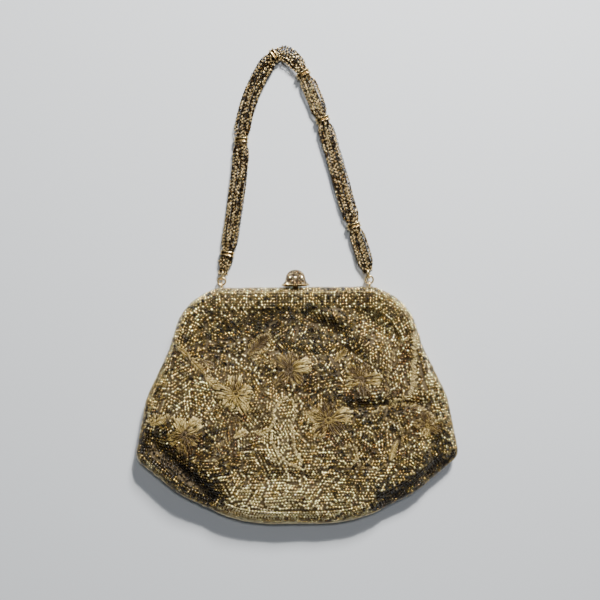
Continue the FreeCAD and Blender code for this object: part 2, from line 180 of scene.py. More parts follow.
# Folds of the front: x0, y0, x1, y1, half width, height (negative for a crease).
FOLDS = [
    (-52.0, 47.0, -17.0, 60.0, 6.0, -2.6),
    (-30.0, 44.0, -8.0, 42.0, 4.5, -1.6),
    (-6.0, 37.5, 40.0, 36.5, 4.0, -2.0),
    (20.0, 66.0, 57.0, 35.0, 5.5, 2.4),
    (44.0, 65.0, 60.0, 49.0, 4.5, -2.6),
    (6.0, 62.0, 26.0, 52.0, 5.0, -2.2),
    (36.0, 2.0, 86.0, 3.0, 3.5, -2.2),
    (40.0, 9.0, 84.0, 11.0, 5.0, 1.3),
    (-96.0, -21.0, -56.0, -57.0, 5.0, -4.2),
    (-80.0, -10.0, -50.0, -40.0, 9.0, 1.6),
    (104.0, -34.0, 60.0, -61.0, 5.0, -4.2),
    (92.0, -22.0, 90.0, -44.0, 5.5, -2.6),
    (-30.0, -45.0, 30.0, -47.0, 4.0, -1.0),
    (-60.0, 24.0, -20.0, -2.0, 9.0, 1.2),
    (-100.0, 0.0, -78.0, 30.0, 5.0, -1.2),
    (-20.0, 8.0, -6.0, -34.0, 6.0, 1.0),
    (8.0, 10.0, 14.0, -30.0, 5.0, -1.2),
    (60.0, -8.0, 40.0, -40.0, 6.0, -1.1),
]


def segment_distance(x, y, x0, y0, x1, y1):
    """Distance from points to a straight line between two points."""
    dx, dy = x1 - x0, y1 - y0
    t = np.clip(((x - x0) * dx + (y - y0) * dy) / (dx * dx + dy * dy), 0, 1)
    return np.hypot(x - x0 - t * dx, y - y0 - t * dy)


def nearness(x, y, x0, y0, x1, y1, width):
    """1 on a segment, fading to nothing a few widths away."""
    return np.exp(-(segment_distance(x, y, x0, y0, x1, y1) / width) ** 2)


def soft_profile(y):
    """The middle profile with its corners smoothed."""
    knots = np.array(MIDDLE_PROFILE)
    total = 0.0
    for shift in (-6.0, -3.0, 0.0, 3.0, 6.0):
        total = total + np.interp(y + shift, knots[:, 0], knots[:, 1])
    return total / 5


def ripples(x, y):
    """Small unevenness of the sewn fabric."""
    wave = np.sin(x / 7.1 + 1.3 * np.sin(y / 11.0)) * np.cos(y / 8.3 + 0.9 * np.sin(x / 13.0))
    return 0.35 * wave + 0.2 * np.sin(x / 3.9 + y / 4.7)


def eased(t):
    """0 to 1 with a soft start and end."""
    t = np.clip(t, 0, 1)
    return t * t * (3 - 2 * t)


def front_roll(y):
    """How far in the front rolls over: tight at the frame, wide on the pouch."""
    t = eased((np.asarray(y, float) - 12.0) / (HINGE_Y - 12.0))
    return FRONT_ROLL * (1 - t) + BAND_ROLL * t


def quarter_round(u):
    """Rise of a rounded edge, from 0 at the outline to 1 where it is flat."""
    return np.sqrt(np.clip(1 - (1 - np.clip(u, 0, 1)) ** 2, 0, 1))


def front_height(x, y, inside=None):
    """Height of the front's beads over the bag's plan, with its folds and band."""
    x, y = np.asarray(x, float), np.asarray(y, float)
    if inside is None:
        inside = depth_inside(x, y)
    high = soft_profile(y) - 4.0 * (np.abs(x) / 105.0) ** 3
    for x0, y0, x1, y1, width, height in FOLDS:
        high = high + FOLD_STRENGTH * height * nearness(x, y, x0, y0, x1, y1, width)
    high = high + ripples(x, y)
    at_frame = eased((y - 16.0) / (HINGE_Y - 16.0))
    on_band = at_frame * (1 - eased((inside - BAND_WIDTH + 0.5) / 4.0))
    band = BAND_TOP - 0.03 * (inside - 6.5) ** 2
    high = high * (1 - on_band) + band * on_band
    high = high - 0.35 * at_frame * np.exp(-((inside - BAND_WIDTH - 1.2) / 1.5) ** 2)
    return MIDDLE_Z + (high - MIDDLE_Z) * quarter_round(inside / front_roll(y))


def rear_height(x, y, inside=None):
    """Height of the flat back's beads over the bag's plan."""
    x, y = np.asarray(x, float), np.asarray(y, float)
    if inside is None:
        inside = depth_inside(x, y)
    return MIDDLE_Z + (REAR_BEAD_Z - MIDDLE_Z) * quarter_round(inside / REAR_ROLL)


def surface_normals(height, x, y, sign):
    """Unit normals of a height surface; sign is -1 where it faces down."""
    step = 0.6
    gx = (height(x + step, y) - height(x - step, y)) / (2 * step)
    gy = (height(x, y + step) - height(x, y - step)) / (2 * step)
    gx, gy = np.clip(gx, -2.5, 2.5), np.clip(gy, -2.5, 2.5)
    return unit(np.stack([-gx, -gy, np.ones_like(gx)], axis=1) * sign)


# ---------------------------------------------------------------- materials
def material(name, color, metallic=0.0, roughness=0.5, coat=0.0, sheen=0.0, ior=1.5):
    made = bpy.data.materials.new(name)
    made.use_nodes = True
    shader = made.node_tree.nodes["Principled BSDF"]
    shader.inputs["Base Color"].default_value = (*color, 1.0)
    shader.inputs["Metallic"].default_value = metallic
    shader.inputs["Roughness"].default_value = roughness
    shader.inputs["Coat Weight"].default_value = coat
    shader.inputs["Coat Roughness"].default_value = 0.08
    shader.inputs["Sheen Weight"].default_value = sheen
    shader.inputs["IOR"].default_value = ior
    return made


def noise_detail(made, scale, low, high, bump, stretch=(1, 1, 1)):
    """Uneven colour and a fine bump from one noise texture."""
    nodes, links = made.node_tree.nodes, made.node_tree.links
    shader = nodes["Principled BSDF"]
    place = nodes.new("ShaderNodeTexCoord")
    mapping = nodes.new("ShaderNodeMapping")
    mapping.inputs["Scale"].default_value = stretch
    noise = nodes.new("ShaderNodeTexNoise")
    noise.inputs["Scale"].default_value = scale
    noise.inputs["Detail"].default_value = 5.0
    ramp = nodes.new("ShaderNodeValToRGB")
    ramp.color_ramp.elements[0].position = 0.3
    ramp.color_ramp.elements[1].position = 0.7
    ramp.color_ramp.elements[0].color = (*low, 1)
    ramp.color_ramp.elements[1].color = (*high, 1)
    lift = nodes.new("ShaderNodeBump")
    lift.inputs["Strength"].default_value = bump
    lift.inputs["Distance"].default_value = 0.0004
    links.new(place.outputs["Object"], mapping.inputs["Vector"])
    links.new(mapping.outputs["Vector"], noise.inputs["Vector"])
    links.new(noise.outputs["Fac"], ramp.inputs["Fac"])
    links.new(noise.outputs["Fac"], lift.inputs["Height"])
    links.new(ramp.outputs["Color"], shader.inputs["Base Color"])
    links.new(lift.outputs["Normal"], shader.inputs["Normal"])
    return made


def mottled(made, scale, low, high, bump):
    """Uneven colour about the material's own, from low to high times it."""
    color = np.array(made.node_tree.nodes["Principled BSDF"].inputs["Base Color"].default_value[:3])
    return noise_detail(made, scale, tuple(color * low), tuple(np.minimum(color * high, 1.0)), bump)


# Shades of bead, from lightest to darkest: colour, share of the beads. One gold at five brightnesses, partly
# the beads' own mixed tones and partly painted sparkle: the lightest shade is a painted highlight of beads
# catching the light, the darkest painted shade of beads turned away.
BEAD_SHADES = [
    ((0.98, 0.80, 0.40), 0.32),
    ((0.64, 0.455, 0.135), 0.28),
    ((0.33, 0.22, 0.058), 0.19),
    ((0.13, 0.082, 0.022), 0.12),
    ((0.04, 0.025, 0.009), 0.09),
]
AMBER = (0.24, 0.12, 0.028)
BEADS = [
    mottled(
        material("bead_%d" % i, color, metallic=0.88, roughness=0.12, coat=1.0),
        620.0, 0.62, 1.08, 0.25)
    for i, (color, share) in enumerate(BEAD_SHADES + [(AMBER, 0.0)])
]
FABRIC = noise_detail(
    material("backing_net", (0.2, 0.15, 0.08), roughness=0.85, sheen=0.2),
    900.0, (0.05, 0.034, 0.015), (0.14, 0.10, 0.045), 0.6)
SATIN = noise_detail(
    material("satin_lining", (0.8, 0.72, 0.56), roughness=0.34, sheen=0.5),
    260.0, (0.70, 0.61, 0.45), (0.86, 0.79, 0.64), 0.35, (1, 12, 1))
THREADS = [
    mottled(material("thread_" + name, color, roughness=0.42, sheen=0.1), 900.0, 0.7, 1.2, 0.4)
    for name, color in (
        ("cream", (0.82, 0.65, 0.27)),
        ("straw", (0.54, 0.39, 0.11)),
        ("gold", (0.28, 0.185, 0.036)),
        ("brown", (0.10, 0.058, 0.014)),
    )
]
GOLD = noise_detail(
    material("gilded_metal", (0.83, 0.62, 0.28), metallic=1.0, roughness=0.22),
    420.0, (0.66, 0.46, 0.19), (0.93, 0.74, 0.38), 0.12)
FRAME_GOLD = noise_detail(
    material("frame_metal", (0.76, 0.58, 0.28), metallic=1.0, roughness=0.34),
    300.0, (0.58, 0.42, 0.19), (0.84, 0.66, 0.34), 0.2)
STEEL = noise_detail(
    material("plain_steel", (0.6, 0.59, 0.56), metallic=1.0, roughness=0.3),
    500.0, (0.5, 0.49, 0.46), (0.7, 0.69, 0.66), 0.15)
# Lit and shaded copies of one gold for the chain links: bright is painted light on face-up links, its diffuse
# part letting lit tops read pale; gold and dark are painted shade on edge-on links and the lower layers. The
# same metals also dress the clasp lever, flange, prongs, collar channels and knob dome.
CHAIN = [
    mottled(material("chain_" + name, color, metallic=metallic, roughness=roughness), 800.0, low, high, 0.2)
    for name, color, metallic, roughness, low, high in (
        ("bright", (0.97, 0.73, 0.36), 0.62, 0.22, 0.75, 1.0),
        ("gold", (0.19, 0.11, 0.034), 1.0, 0.22, 0.5, 1.3),
        ("dark", (0.022, 0.013, 0.006), 0.9, 0.4, 0.5, 1.4),
    )
]
STONES = [
    mottled(material("stone_" + name, color, metallic=0.75, roughness=0.1, coat=1.0), 700.0, 0.75, 1.2, 0.15)
    for name, color in (
        ("pale", (0.86, 0.69, 0.41)),
        ("warm", (0.5, 0.36, 0.19)),
        ("deep", (0.07, 0.04, 0.02)),
    )
]


# ---------------------------------------------------------------- mesh building
def mesh_object(name, points, loops, totals, materials, indices=None):
    """Mesh from flat arrays: points in millimetres, corner indices, face sizes."""
    mesh = bpy.data.meshes.new(name)
    mesh.vertices.add(len(points))
    mesh.vertices.foreach_set("co", (np.asarray(points) * MM).astype(np.float32).ravel())
    mesh.loops.add(len(loops))
    mesh.loops.foreach_set("vertex_index", np.asarray(loops, np.int32))
    mesh.polygons.add(len(totals))
    starts = np.concatenate([[0], np.cumsum(totals)[:-1]]).astype(np.int32)
    mesh.polygons.foreach_set("loop_start", starts)
    mesh.polygons.foreach_set("loop_total", np.asarray(totals, np.int32))
    mesh.polygons.foreach_set("use_smooth", np.ones(len(totals), bool))
    if indices is not None:
        mesh.polygons.foreach_set("material_index", np.asarray(indices, np.int32))
    mesh.update(calc_edges=True)
    mesh.validate()
    for one in materials:
        mesh.materials.append(one)
    made = bpy.data.objects.new(name, mesh)
    bpy.context.scene.collection.objects.link(made)
    return made


def flat_faces(faces):
    loops = [corner for face in faces for corner in face]
    return np.array(loops, np.int64), np.array([len(face) for face in faces], np.int64)


def quads(rings, size, first=0, closed=True, joined=False, order=(0, 1, 2, 3)):
    """Four-cornered faces between rings of size points each.

    closed joins each ring's ends, joined joins the last ring to the first.
    The corners are, in order's numbers: here, next in the ring, next in the
    following ring, and here in the following ring.
    """
    faces = []
    for i in range(rings if joined else rings - 1):
        for k in range(size if closed else size - 1):
            near, far = first + i * size, first + (i + 1) % rings * size
            corners = (near + k, near + (k + 1) % size, far + (k + 1) % size, far + k)
            faces.append(tuple(corners[j] for j in order))
    return faces


def swarm(name, shape, centres, frames, scales, shades, materials):
    """Many copies of one small shape in one mesh."""
    points, faces = shape
    loops, totals = flat_faces(faces)
    count = len(centres)
    placed = np.einsum("nij,vj->nvi", frames * scales[:, None, :], points) + centres[:, None, :]
    offsets = np.arange(count)[:, None] * len(points)
    every_loop = (loops[None, :] + offsets).ravel()
    every_total = np.tile(totals, count)
    every_shade = np.repeat(shades, len(totals))
    return mesh_object(name, placed.reshape(-1, 3), every_loop, every_total, materials, every_shade)


def lathe(profile, sides):
    """Closed shape of revolution about X from (x, radius) pairs."""
    points = []
    for x, radius in profile:
        for k in range(sides):
            a = 2 * math.pi * k / sides
            points.append((x, radius * math.cos(a), radius * math.sin(a)))
    faces = quads(len(profile), sides, order=(0, 3, 2, 1))
    faces.append(tuple(range(sides)))
    last = (len(profile) - 1) * sides
    faces.append(tuple(reversed(range(last, last + sides))))
    return np.array(points), faces


def frames_from(axis, normal):
    """Rotation matrices with their first column along axis and third near normal."""
    axis = unit(axis)
    side = unit(np.cross(normal, axis))
    up = np.cross(axis, side)
    return np.stack([axis, side, up], axis=2)


BEAD = lathe([(-0.5, 0.52), (-0.27, 0.98), (0.27, 0.98), (0.5, 0.52)], 7)
MOST_BEADS = 3600            # in one mesh


def tubes(name, lines, radii, materials, indices, sides=5):
    """Round threads or wires along point lines, in one mesh."""
    points, faces, shades = [], [], []
    for line, radius, index in zip(lines, radii, indices):
        line = np.asarray(line, float)
        tangent = np.gradient(line, axis=0)
        frame_set = frames_from(tangent, np.tile([0.02, 0.03, 1.0], (len(line), 1)))
        first = len(points)
        sizes = np.broadcast_to(radius, len(line))
        for place, axes, size in zip(line, frame_set, sizes):
            for k in range(sides):
                a = 2 * math.pi * k / sides
                points.append(place + size * (axes[:, 1] * math.cos(a) + axes[:, 2] * math.sin(a)))
        faces += quads(len(line), sides, first)
        faces.append(tuple(reversed(range(first, first + sides))))
        faces.append(tuple(range(len(points) - sides, len(points))))
        shades += [index] * (len(faces) - len(shades))
    loops, totals = flat_faces(faces)
    return mesh_object(name, np.array(points), loops, totals, materials, shades)


# ---------------------------------------------------------------- embroidery
# Five-petal flowers: x, y, reach, turn in degrees, shades of petals and centre.
FLOWERS = [
    (-39.9, 11.0, 14.0, 18, (0, 1, 0, 0, 0), 2),
    (-73.9, -15.0, 13.5, 48, (0, 0, 1, 3, 2), 3),
    (-4.0, 26.5, 14.5, 8, (0, 3, 2, 3, 2), 3),
    (43.0, 20.0, 12.5, 62, (3, 2, 1, 3, 1), 3),
    (20.8, -6.5, 15.0, 20, (0, 3, 1, 1, 3), 2),
    (86.0, -11.0, 9.0, 35, (2, 3, 2, 1, 3), 2),
]
# Leaves in slanting satin stitch: x0, y0, x1, y1, width, shade.
LEAVES = [
    (-31.5, 37.0, -18.0, 49.0, 7.5, 3),
    (-70.0, 33.5, -61.0, 24.5, 5.5, 2),
    (-79.0, 42.5, -71.0, 35.5, 3.6, 2),
    (-62.0, 33.0, -55.0, 29.5, 3.6, 3),
    (-60.0, 22.0, -53.0, 15.5, 4.0, 1),
    (-41.5, -17.5, -33.0, -13.0, 4.6, 0),
    (-26.0, -15.5, -18.0, -12.0, 3.6, 1),
    (25.5, 31.5, 34.0, 39.5, 4.2, 2),
    (66.0, -20.0, 61.0, -33.0, 4.4, 1),
    (-97.0, -9.5, -86.0, -4.5, 4.6, 1),
]
# Couched outlines and stems: points, half width, shade.
SCROLLS = [
    ([(79, 47), (78.5, 38), (78, 28), (78, 18), (75, 10), (69, 5.5), (61.6, 4.3)], 1.7, 0),
    ([(61.6, 4.3), (59.5, 11), (60, 20), (64, 35), (71, 45), (79, 48)], 0.75, 2),
    ([(50, -2), (58, 1.5), (70, 2.8), (82, 1.0), (90, -4.5), (88.5, -13), (82, -17)], 0.9, 1),
    ([(58, -6), (66, -9), (70, -14), (68.5, -24), (70.6, -32)], 0.8, 2),
    ([(-7, 9), (-13, 4), (-16, -2), (-14.4, -6.4), (-17.4, -12.3), (-16.4, -20), (-9.2, -31.7),
      (2, -37.6)], 0.8, 0),
    ([(-7, 9), (-1, 4.8), (-0.4, -4), (-4.2, -9.3), (-1.8, -15), (-2.2, -24), (2.7, -31),
      (2, -37.6)], 0.8, 0),
    ([(-53, -36), (-54, -26), (-47, -18.5), (-37, -17), (-27, -15), (-18, -14)], 0.85, 2),
    ([(29.5, -24), (37, -23), (40.5, -29), (37.5, -35.5), (31, -38)], 0.8, 1),
    ([(-84, 46), (-76, 40), (-67, 32), (-60, 24), (-52, 18)], 0.75, 0),
    ([(-31.5, 37), (-31, 43), (-25, 49), (-17, 50)], 0.5, 1),
    ([(-31.5, 37), (-24, 37.5), (-18, 43), (-17, 50)], 0.5, 1),
    ([(-70, 34), (-62, 34), (-57, 27), (-56, 21)], 0.5, 1),
    ([(-101, -10), (-94, -3.5), (-85, -2.5), (-77, -6)], 1.0, 1),
    ([(-31.5, 37), (-24, 33), (-14, 31)], 0.7, 2),
    ([(-42, -4), (-38, -3.2), (-36.4, -6.5), (-39, -9.4), (-42.4, -8), (-41.4, -5.6),
      (-39.3, -6)], 0.8, 3),
    ([(60, -36), (50, -40), (40, -36)], 0.7, 2),
    ([(-60, -2), (-54, 2), (-50, 5)], 0.7, 2),
]
PETAL_STITCHES = 64
THREAD_RADIUS = 0.19


def petal_axes(flower):
    x, y, reach, turn, shades, _ = flower
    for k, shade in enumerate(shades):
        a = math.radians(turn + 72 * k + 9 * math.sin(1.7 * k + y))
        length = reach * (0.94 + 0.16 * math.sin(2.3 * k + x))
        yield x, y, x + length * math.cos(a), y + length * math.sin(a), reach * 0.6, shade


def worked_areas():
    """Every petal, leaf and scroll as (x0, y0, x1, y1, half width)."""
    areas = []
    for flower in FLOWERS:
        for x0, y0, x1, y1, width, _ in petal_axes(flower):
            areas.append((x0, y0, x0 + 0.8 * (x1 - x0), y0 + 0.8 * (y1 - y0), width * 0.27))
    areas += [(x0, y0, x1, y1, width * 0.36) for x0, y0, x1, y1, width, _ in LEAVES]
    for points, half, _ in SCROLLS:
        for (x0, y0), (x1, y1) in zip(points, points[1:]):
            areas.append((x0, y0, x1, y1, half * 0.9))
    return areas


def embroidered(x, y):
    """True where satin stitches cover the fabric instead of beads."""
    covered = np.zeros(np.shape(x), bool)
    for x0, y0, x1, y1, width in worked_areas():
        covered |= segment_distance(x, y, x0, y0, x1, y1) < width
    return covered


def lifted(xy, rise):
    """Points on the front, raised by rise above the bead layer's middle."""
    z = front_height(xy[:, 0], xy[:, 1]) + rise
    return np.column_stack([xy, z])


def nearby_shade(shade):
    """The given thread shade, or now and then the next one."""
    return min(3, max(0, shade + RANDOM.choice([-1, 0, 0, 1])))


def petal_threads(x0, y0, x1, y1, width, shade):
    """Short ragged stitches that fan out over one petal, paler towards its rim."""
    lines, shades = [], []
    along = np.array([x1 - x0, y1 - y0])
    across = np.array([-along[1], along[0]]) / np.linalg.norm(along)
    for i in range(PETAL_STITCHES):
        side = RANDOM.uniform(-1, 1)
        rim = 1.04 - 0.22 * side ** 2 + RANDOM.normal(0, 0.05)
        begin = RANDOM.uniform(0.1, 0.8) * rim
        end = min(rim, begin + RANDOM.uniform(0.16, 0.34))
        t = np.linspace(begin, end, 4)
        bulge = np.sin(np.clip(t / 1.04, 0, 1) * 2.35) ** 0.9
        lean = 1 + RANDOM.normal(0.1, 0.16) * (t - begin) / (end - begin)
        xy = np.array([x0, y0]) + t[:, None] * along + (width * 0.5 * side * bulge * lean)[:, None] * across
        arch = np.sin(np.pi * (0.1 + 0.8 * (t - begin) / (end - begin)))
        lines.append(lifted(xy, 0.3 + 0.35 * (i % 3) + 0.65 * arch))
        depth = (begin + end) / 2 + 0.25 * abs(side) + RANDOM.normal(0, 0.16)
        shades.append(nearby_shade(min(3, shade + int(depth < 0.5) + int(depth < 0.78))))
    return lines, shades


def leaf_threads(x0, y0, x1, y1, width, shade):
    """Satin stitches laid slantwise from a leaf's midrib to its edges."""
    lines, shades = [], []
    start, end = np.array([x0, y0]), np.array([x1, y1])
    along = end - start
    length = np.linalg.norm(along)
    across = np.array([-along[1], along[0]]) / length
    count = int(length / 0.62)
    for side in (-1, 1):
        for i in range(count):
            t = (i + 0.5) / count
            half = 0.5 * width * math.sin(math.pi * min(1.0, t * 0.92 + 0.06)) ** 0.7
            root = start + along * t
            half = half * (1 + RANDOM.normal(0, 0.16))
            tip = root + across * side * half + along / length * half * (0.7 + RANDOM.normal(0, 0.2))
            s = np.linspace(0, 1, 4)[:, None]
            xy = root * (1 - s) + tip * s
            rise = 0.35 + 1.15 * np.sin(np.pi * (0.15 + 0.8 * s[:, 0]))
            lines.append(lifted(xy, rise))
            shades.append(nearby_shade(shade))
    return lines, shades


def scroll_threads(points, half, shade):
    """Close slanting stitches along a curved line."""
    lines, shades = [], []
    smooth = resampled(np.array(points, float), 1.5)
    for _ in range(2):
        smooth[1:-1] = (smooth[:-2] + 2 * smooth[1:-1] + smooth[2:]) / 4
    fine = resampled(smooth, 0.7)
    tangent = unit(np.gradient(fine, axis=0))
    for place, way in zip(fine, tangent):
        across = np.array([-way[1], way[0]]) * 0.9 + way * RANDOM.normal(0.3, 0.5)
        s = np.linspace(-1, 1, 4)[:, None] * (0.9 + RANDOM.normal(0, 0.25))
        xy = place + across * s * half + RANDOM.normal(0, 0.4, 2)
        lines.append(lifted(xy, 0.5 + 0.6 * np.cos(np.linspace(-1.4, 1.4, 4))))
        shades.append(nearby_shade(shade))
    return lines, shades


def knot_threads(x, y, reach, shade):
    """Small tangle of loops in a flower's middle."""
    lines, shades = [], []
    for i in range(16):
        a = 2 * math.pi * i / 16 + RANDOM.normal(0, 0.2)
        r = reach * (0.07 + 0.1 * RANDOM.random())
        t = np.linspace(0, 2.4, 5)
        xy = np.array([x, y]) + r * np.column_stack([np.cos(a + t), np.sin(a + t)])
        lines.append(lifted(xy, 1.0 + 0.5 * np.sin(t)))
        shades.append(shade)
    return lines, shades


def make_embroidery():
    lines, shades = [], []
    parts = []
    for flower in FLOWERS:
        parts += [petal_threads(*petal) for petal in petal_axes(flower)]
        parts.append(knot_threads(flower[0], flower[1], flower[2], flower[5]))
    parts += [leaf_threads(*leaf) for leaf in LEAVES]
    parts += [scroll_threads(*scroll) for scroll in SCROLLS]
    for some_lines, some_shades in parts:
        lines += some_lines
        shades += some_shades
    return tubes("embroidery", lines, [THREAD_RADIUS] * len(lines), THREADS, shades)


# ---------------------------------------------------------------- beads
def bead_shades(x, y, shade_and_tone_places=()):
    """Shade index of each bead, with painted shade in the creases and corners and painted light where the
    table lightens, amber in the worked leaves.
    """
    shares = np.array([share for _, share in BEAD_SHADES])
    limits = np.cumsum(shares)
    drift = 0.10 * np.sin(x / 17.0 + 1.1 * np.sin(y / 23.0)) + 0.06 * np.sin(y / 9.0 + x / 31.0)
    for x0, y0, x1, y1, width, amount in shade_and_tone_places:
        drift = drift + amount * nearness(x, y, x0, y0, x1, y1, width)
    draw = np.clip(RANDOM.random(len(x)) + drift, 0, 0.9999)
    shade = np.searchsorted(limits, draw)
    chance = np.full(len(x), 0.02)
    if len(shade_and_tone_places):
        for x0, y0, x1, y1, width, amount in AMBER_PLACES:
            chance = chance + amount * nearness(x, y, x0, y0, x1, y1, width)
    amber = (RANDOM.random(len(x)) < chance) & (shade > 0)
    return np.where(amber, len(BEAD_SHADES), shade)


# Stretches of the front whose beads are drawn darker or lighter: x0, y0, x1, y1, half width, how dark
# (negative for lighter). Painted shade in the creases and bottom corners, painted light along the bottom's
# middle and some rises, and lighter-bead areas of the pattern such as the wavy leaf.
SHADE_AND_TONE_PLACES = [
    (-100.0, -24.0, -55.0, -58.0, 8.0, 0.5),
    (104.0, -34.0, 58.0, -62.0, 9.0, 0.65),
    (92.0, -26.0, 90.0, -42.0, 7.0, 0.35),
    (-52.0, 47.0, -17.0, 58.0, 10.0, 0.42),
    (-6.0, 38.0, 42.0, 40.0, 7.0, 0.2),
    (36.0, 2.0, 80.0, 3.0, 5.0, 0.25),
    (-40.0, -60.0, 38.0, -58.0, 14.0, -0.32),
    (-85.0, 20.0, -70.0, 0.0, 12.0, -0.12),
    (-50.0, 74.0, 50.0, 74.0, 6.0, -0.05),
    (-9.0, 3.0, -8.0, -28.0, 6.0, -0.5),
    (-34.0, -18.0, -14.0, -24.0, 8.0, -0.25),
    (-50.0, 20.0, -60.0, 6.0, 8.0, -0.15),
    (-18.0, 58.0, 22.0, 54.0, 8.0, 0.12),
    (-84.0, -36.0, -58.0, -54.0, 6.0, 0.3),
    (46.0, 62.0, 60.0, 44.0, 8.0, -0.18),
]


# Warmer brown stretches: x0, y0, x1, y1, half width, share of amber beads.
AMBER_PLACES = [
    (70.0, 38.0, 67.0, 14.0, 7.0, 0.6),
    (-78.0, 34.0, -60.0, 20.0, 7.0, 0.35),
    (-41.0, -7.0, -38.0, -6.0, 5.0, 0.7),
    (-66.0, -24.0, -78.0, -26.0, 6.0, 0.5),
    (0.0, 14.0, 8.0, 12.0, 7.0, 0.3),
    (20.0, -18.0, 26.0, -20.0, 6.0, 0.5),
    (34.0, 10.0, 50.0, 8.0, 8.0, 0.4),
    (78.0, -8.0, 90.0, -10.0, 8.0, 0.4),
    (-48.0, -24.0, -30.0, -20.0, 5.0, 0.4),
    (36.0, -30.0, 30.0, -34.0, 5.0, 0.3),
    (-24.0, 42.0, -20.0, 46.0, 6.0, 0.5),
    (50.0, -28.0, 64.0, -24.0, 8.0, 0.25),
]


def spaced(points, least, keep_first=0):
    """Indices of points kept so that none are closer than least."""
    cells = {}
    kept = []
    for index, (x, y) in enumerate(points):
        cell = (int(x // least), int(y // least))
        clear = True
        if index >= keep_first:
            for i in (-1, 0, 1):
                for j in (-1, 0, 1):
                    for other in cells.get((cell[0] + i, cell[1] + j), ()):
                        gap = points[other] - points[index]
                        if gap[0] ** 2 + gap[1] ** 2 < least * least:
                            clear = False
        if clear:
            cells.setdefault(cell, []).append(index)
            kept.append(index)
    return np.array(kept)


def patchwork(angle_at, patch):
    """Bead places in small patches of straight rows: x, y and row direction."""
    places, turns = [], []
    xs = np.arange(-112.0, 113.0, patch)
    ys = np.arange(TOP_Y - BAG_HEIGHT - 4, TOP_Y, patch)
    seeds = np.array([(x, y) for x in xs for y in ys])
    seeds = seeds + RANDOM.uniform(-0.42, 0.42, seeds.shape) * patch
    reach = patch * 1.5
    steps = np.arange(-reach, reach, BEAD_PITCH)
    rows = np.arange(-reach, reach, ROW_PITCH)
    grid = np.array([(a + (i % 2) * BEAD_PITCH / 2, b) for i, b in enumerate(rows) for a in steps])
    for index, seed in enumerate(seeds):
        turn = angle_at(seed[0], seed[1])
        c, s = math.cos(turn), math.sin(turn)
        here = grid @ np.array([[c, s], [-s, c]]) + seed
        gaps = ((here[:, None, :] - seeds[None, :, :]) ** 2).sum(axis=2)
        mine = here[gaps.argmin(axis=1) == index]
        places.append(mine)
        turns.append(np.full(len(mine), turn))
    return np.concatenate(places), np.concatenate(turns)


def front_angle(x, y):
    """Rows lie level near the bottom and wander elsewhere."""
    if y < -38 - 0.0022 * x * x + 10:
        return RANDOM.normal(0, 0.06)
    return RANDOM.choice([0.0, 0.5, -0.5, 1.1, -1.1, 1.57]) + RANDOM.normal(0, 0.15)


def place_beads(name, x, y, turn, height, sign, shade_and_tone_places):
    """Bead meshes on a height surface, split into pieces of bounded size."""
    jitter = RANDOM.normal(0, 0.09, (len(x), 3))
    turn = turn + RANDOM.normal(0, 0.16, len(x))
    normal = surface_normals(height, x, y, sign)
    z = height(x, y)
    axis = np.column_stack([np.cos(turn), np.sin(turn), np.zeros(len(x))])
    axis = axis - normal * (axis * normal).sum(axis=1)[:, None]
    axis = axis + RANDOM.normal(0, 0.08, axis.shape)
    centres = np.column_stack([x, y, z]) + jitter
    return bead_pieces(name, centres, axis, normal, bead_shades(x, y, shade_and_tone_places))


def bead_pieces(name, centres, axis, normal, shades):
    centres[:, 2] = np.maximum(centres[:, 2], BEAD_RADIUS * 1.12)
    order = np.argsort(centres[:, 0], kind="stable")
    pieces = []
    count = int(math.ceil(len(order) / MOST_BEADS))
    size = RANDOM.normal(1.0, 0.06, len(order))
    for k, part in enumerate(np.array_split(order, count)):
        scales = np.column_stack([
            BEAD_LENGTH * size[part] * RANDOM.normal(1, 0.08, len(part)),
            BEAD_RADIUS * size[part],
            BEAD_RADIUS * size[part],
        ])
        frames = frames_from(axis[part], normal[part])
        label = "%s_%d" % (name, k + 1)
        pieces.append(swarm(label, BEAD, centres[part], frames, scales, shades[part], BEADS))
    return pieces


def even_row(line, shift):
    """Evenly spaced points on a closed line, with tangents and inward normals."""
    closed = np.vstack([line, line[:1]])
    even = resampled(closed, BEAD_PITCH)[:-1]
    tangent = unit(np.roll(even, -1, axis=0) - np.roll(even, 1, axis=0))
    even = even + tangent * shift * BEAD_PITCH
    return even, tangent, np.column_stack([tangent[:, 1], -tangent[:, 0]])


def kept_rows(keep, *parts):
    """The same rows of several arrays."""
    return [part[keep] for part in parts]


def gathered(rows):
    """Rows of (centres, axes, normals) put together."""
    return [np.concatenate(group) for group in zip(*rows)]


def edge_angles():
    """Turn of each row round the front's edge, from the outline upwards."""
    angles = [0.0]
    while FRONT_ROLL * (1 - math.cos(angles[-1])) < EDGE_ROWS_DEPTH:
        last = angles[-1]
        arc = math.hypot(FRONT_ROLL * math.sin(last), 12.0 * math.cos(last))
        angles.append(last + ROW_PITCH / arc)
    return angles


def front_edge_rows():
    """Rows that follow the outline over the front's rounded edge."""
    rows = []
    for row, angle in enumerate(edge_angles()):
        inset = front_roll(OUTLINE[:, 1]) * (1 - math.cos(angle)) - OUTSET
        even, tangent, inward = even_row(OUTLINE + NORMALS * inset[:, None], 0.5 * (row % 2))
        keep = even[:, 1] < HINGE_Y - 0.5
        if row % 2:
            keep &= front_roll(even[:, 1]) > 9.0
        even, tangent, inward = kept_rows(keep, even, tangent, inward)
        inside = front_roll(even[:, 1]) * (1 - math.cos(angle))
        rows.append((
            np.column_stack([even, front_height(even[:, 0], even[:, 1], inside)]),
            np.column_stack([tangent, np.zeros(len(even))]),
            np.column_stack([-inward * math.cos(angle), np.full(len(even), math.sin(angle))]),
        ))
    return gathered(rows)


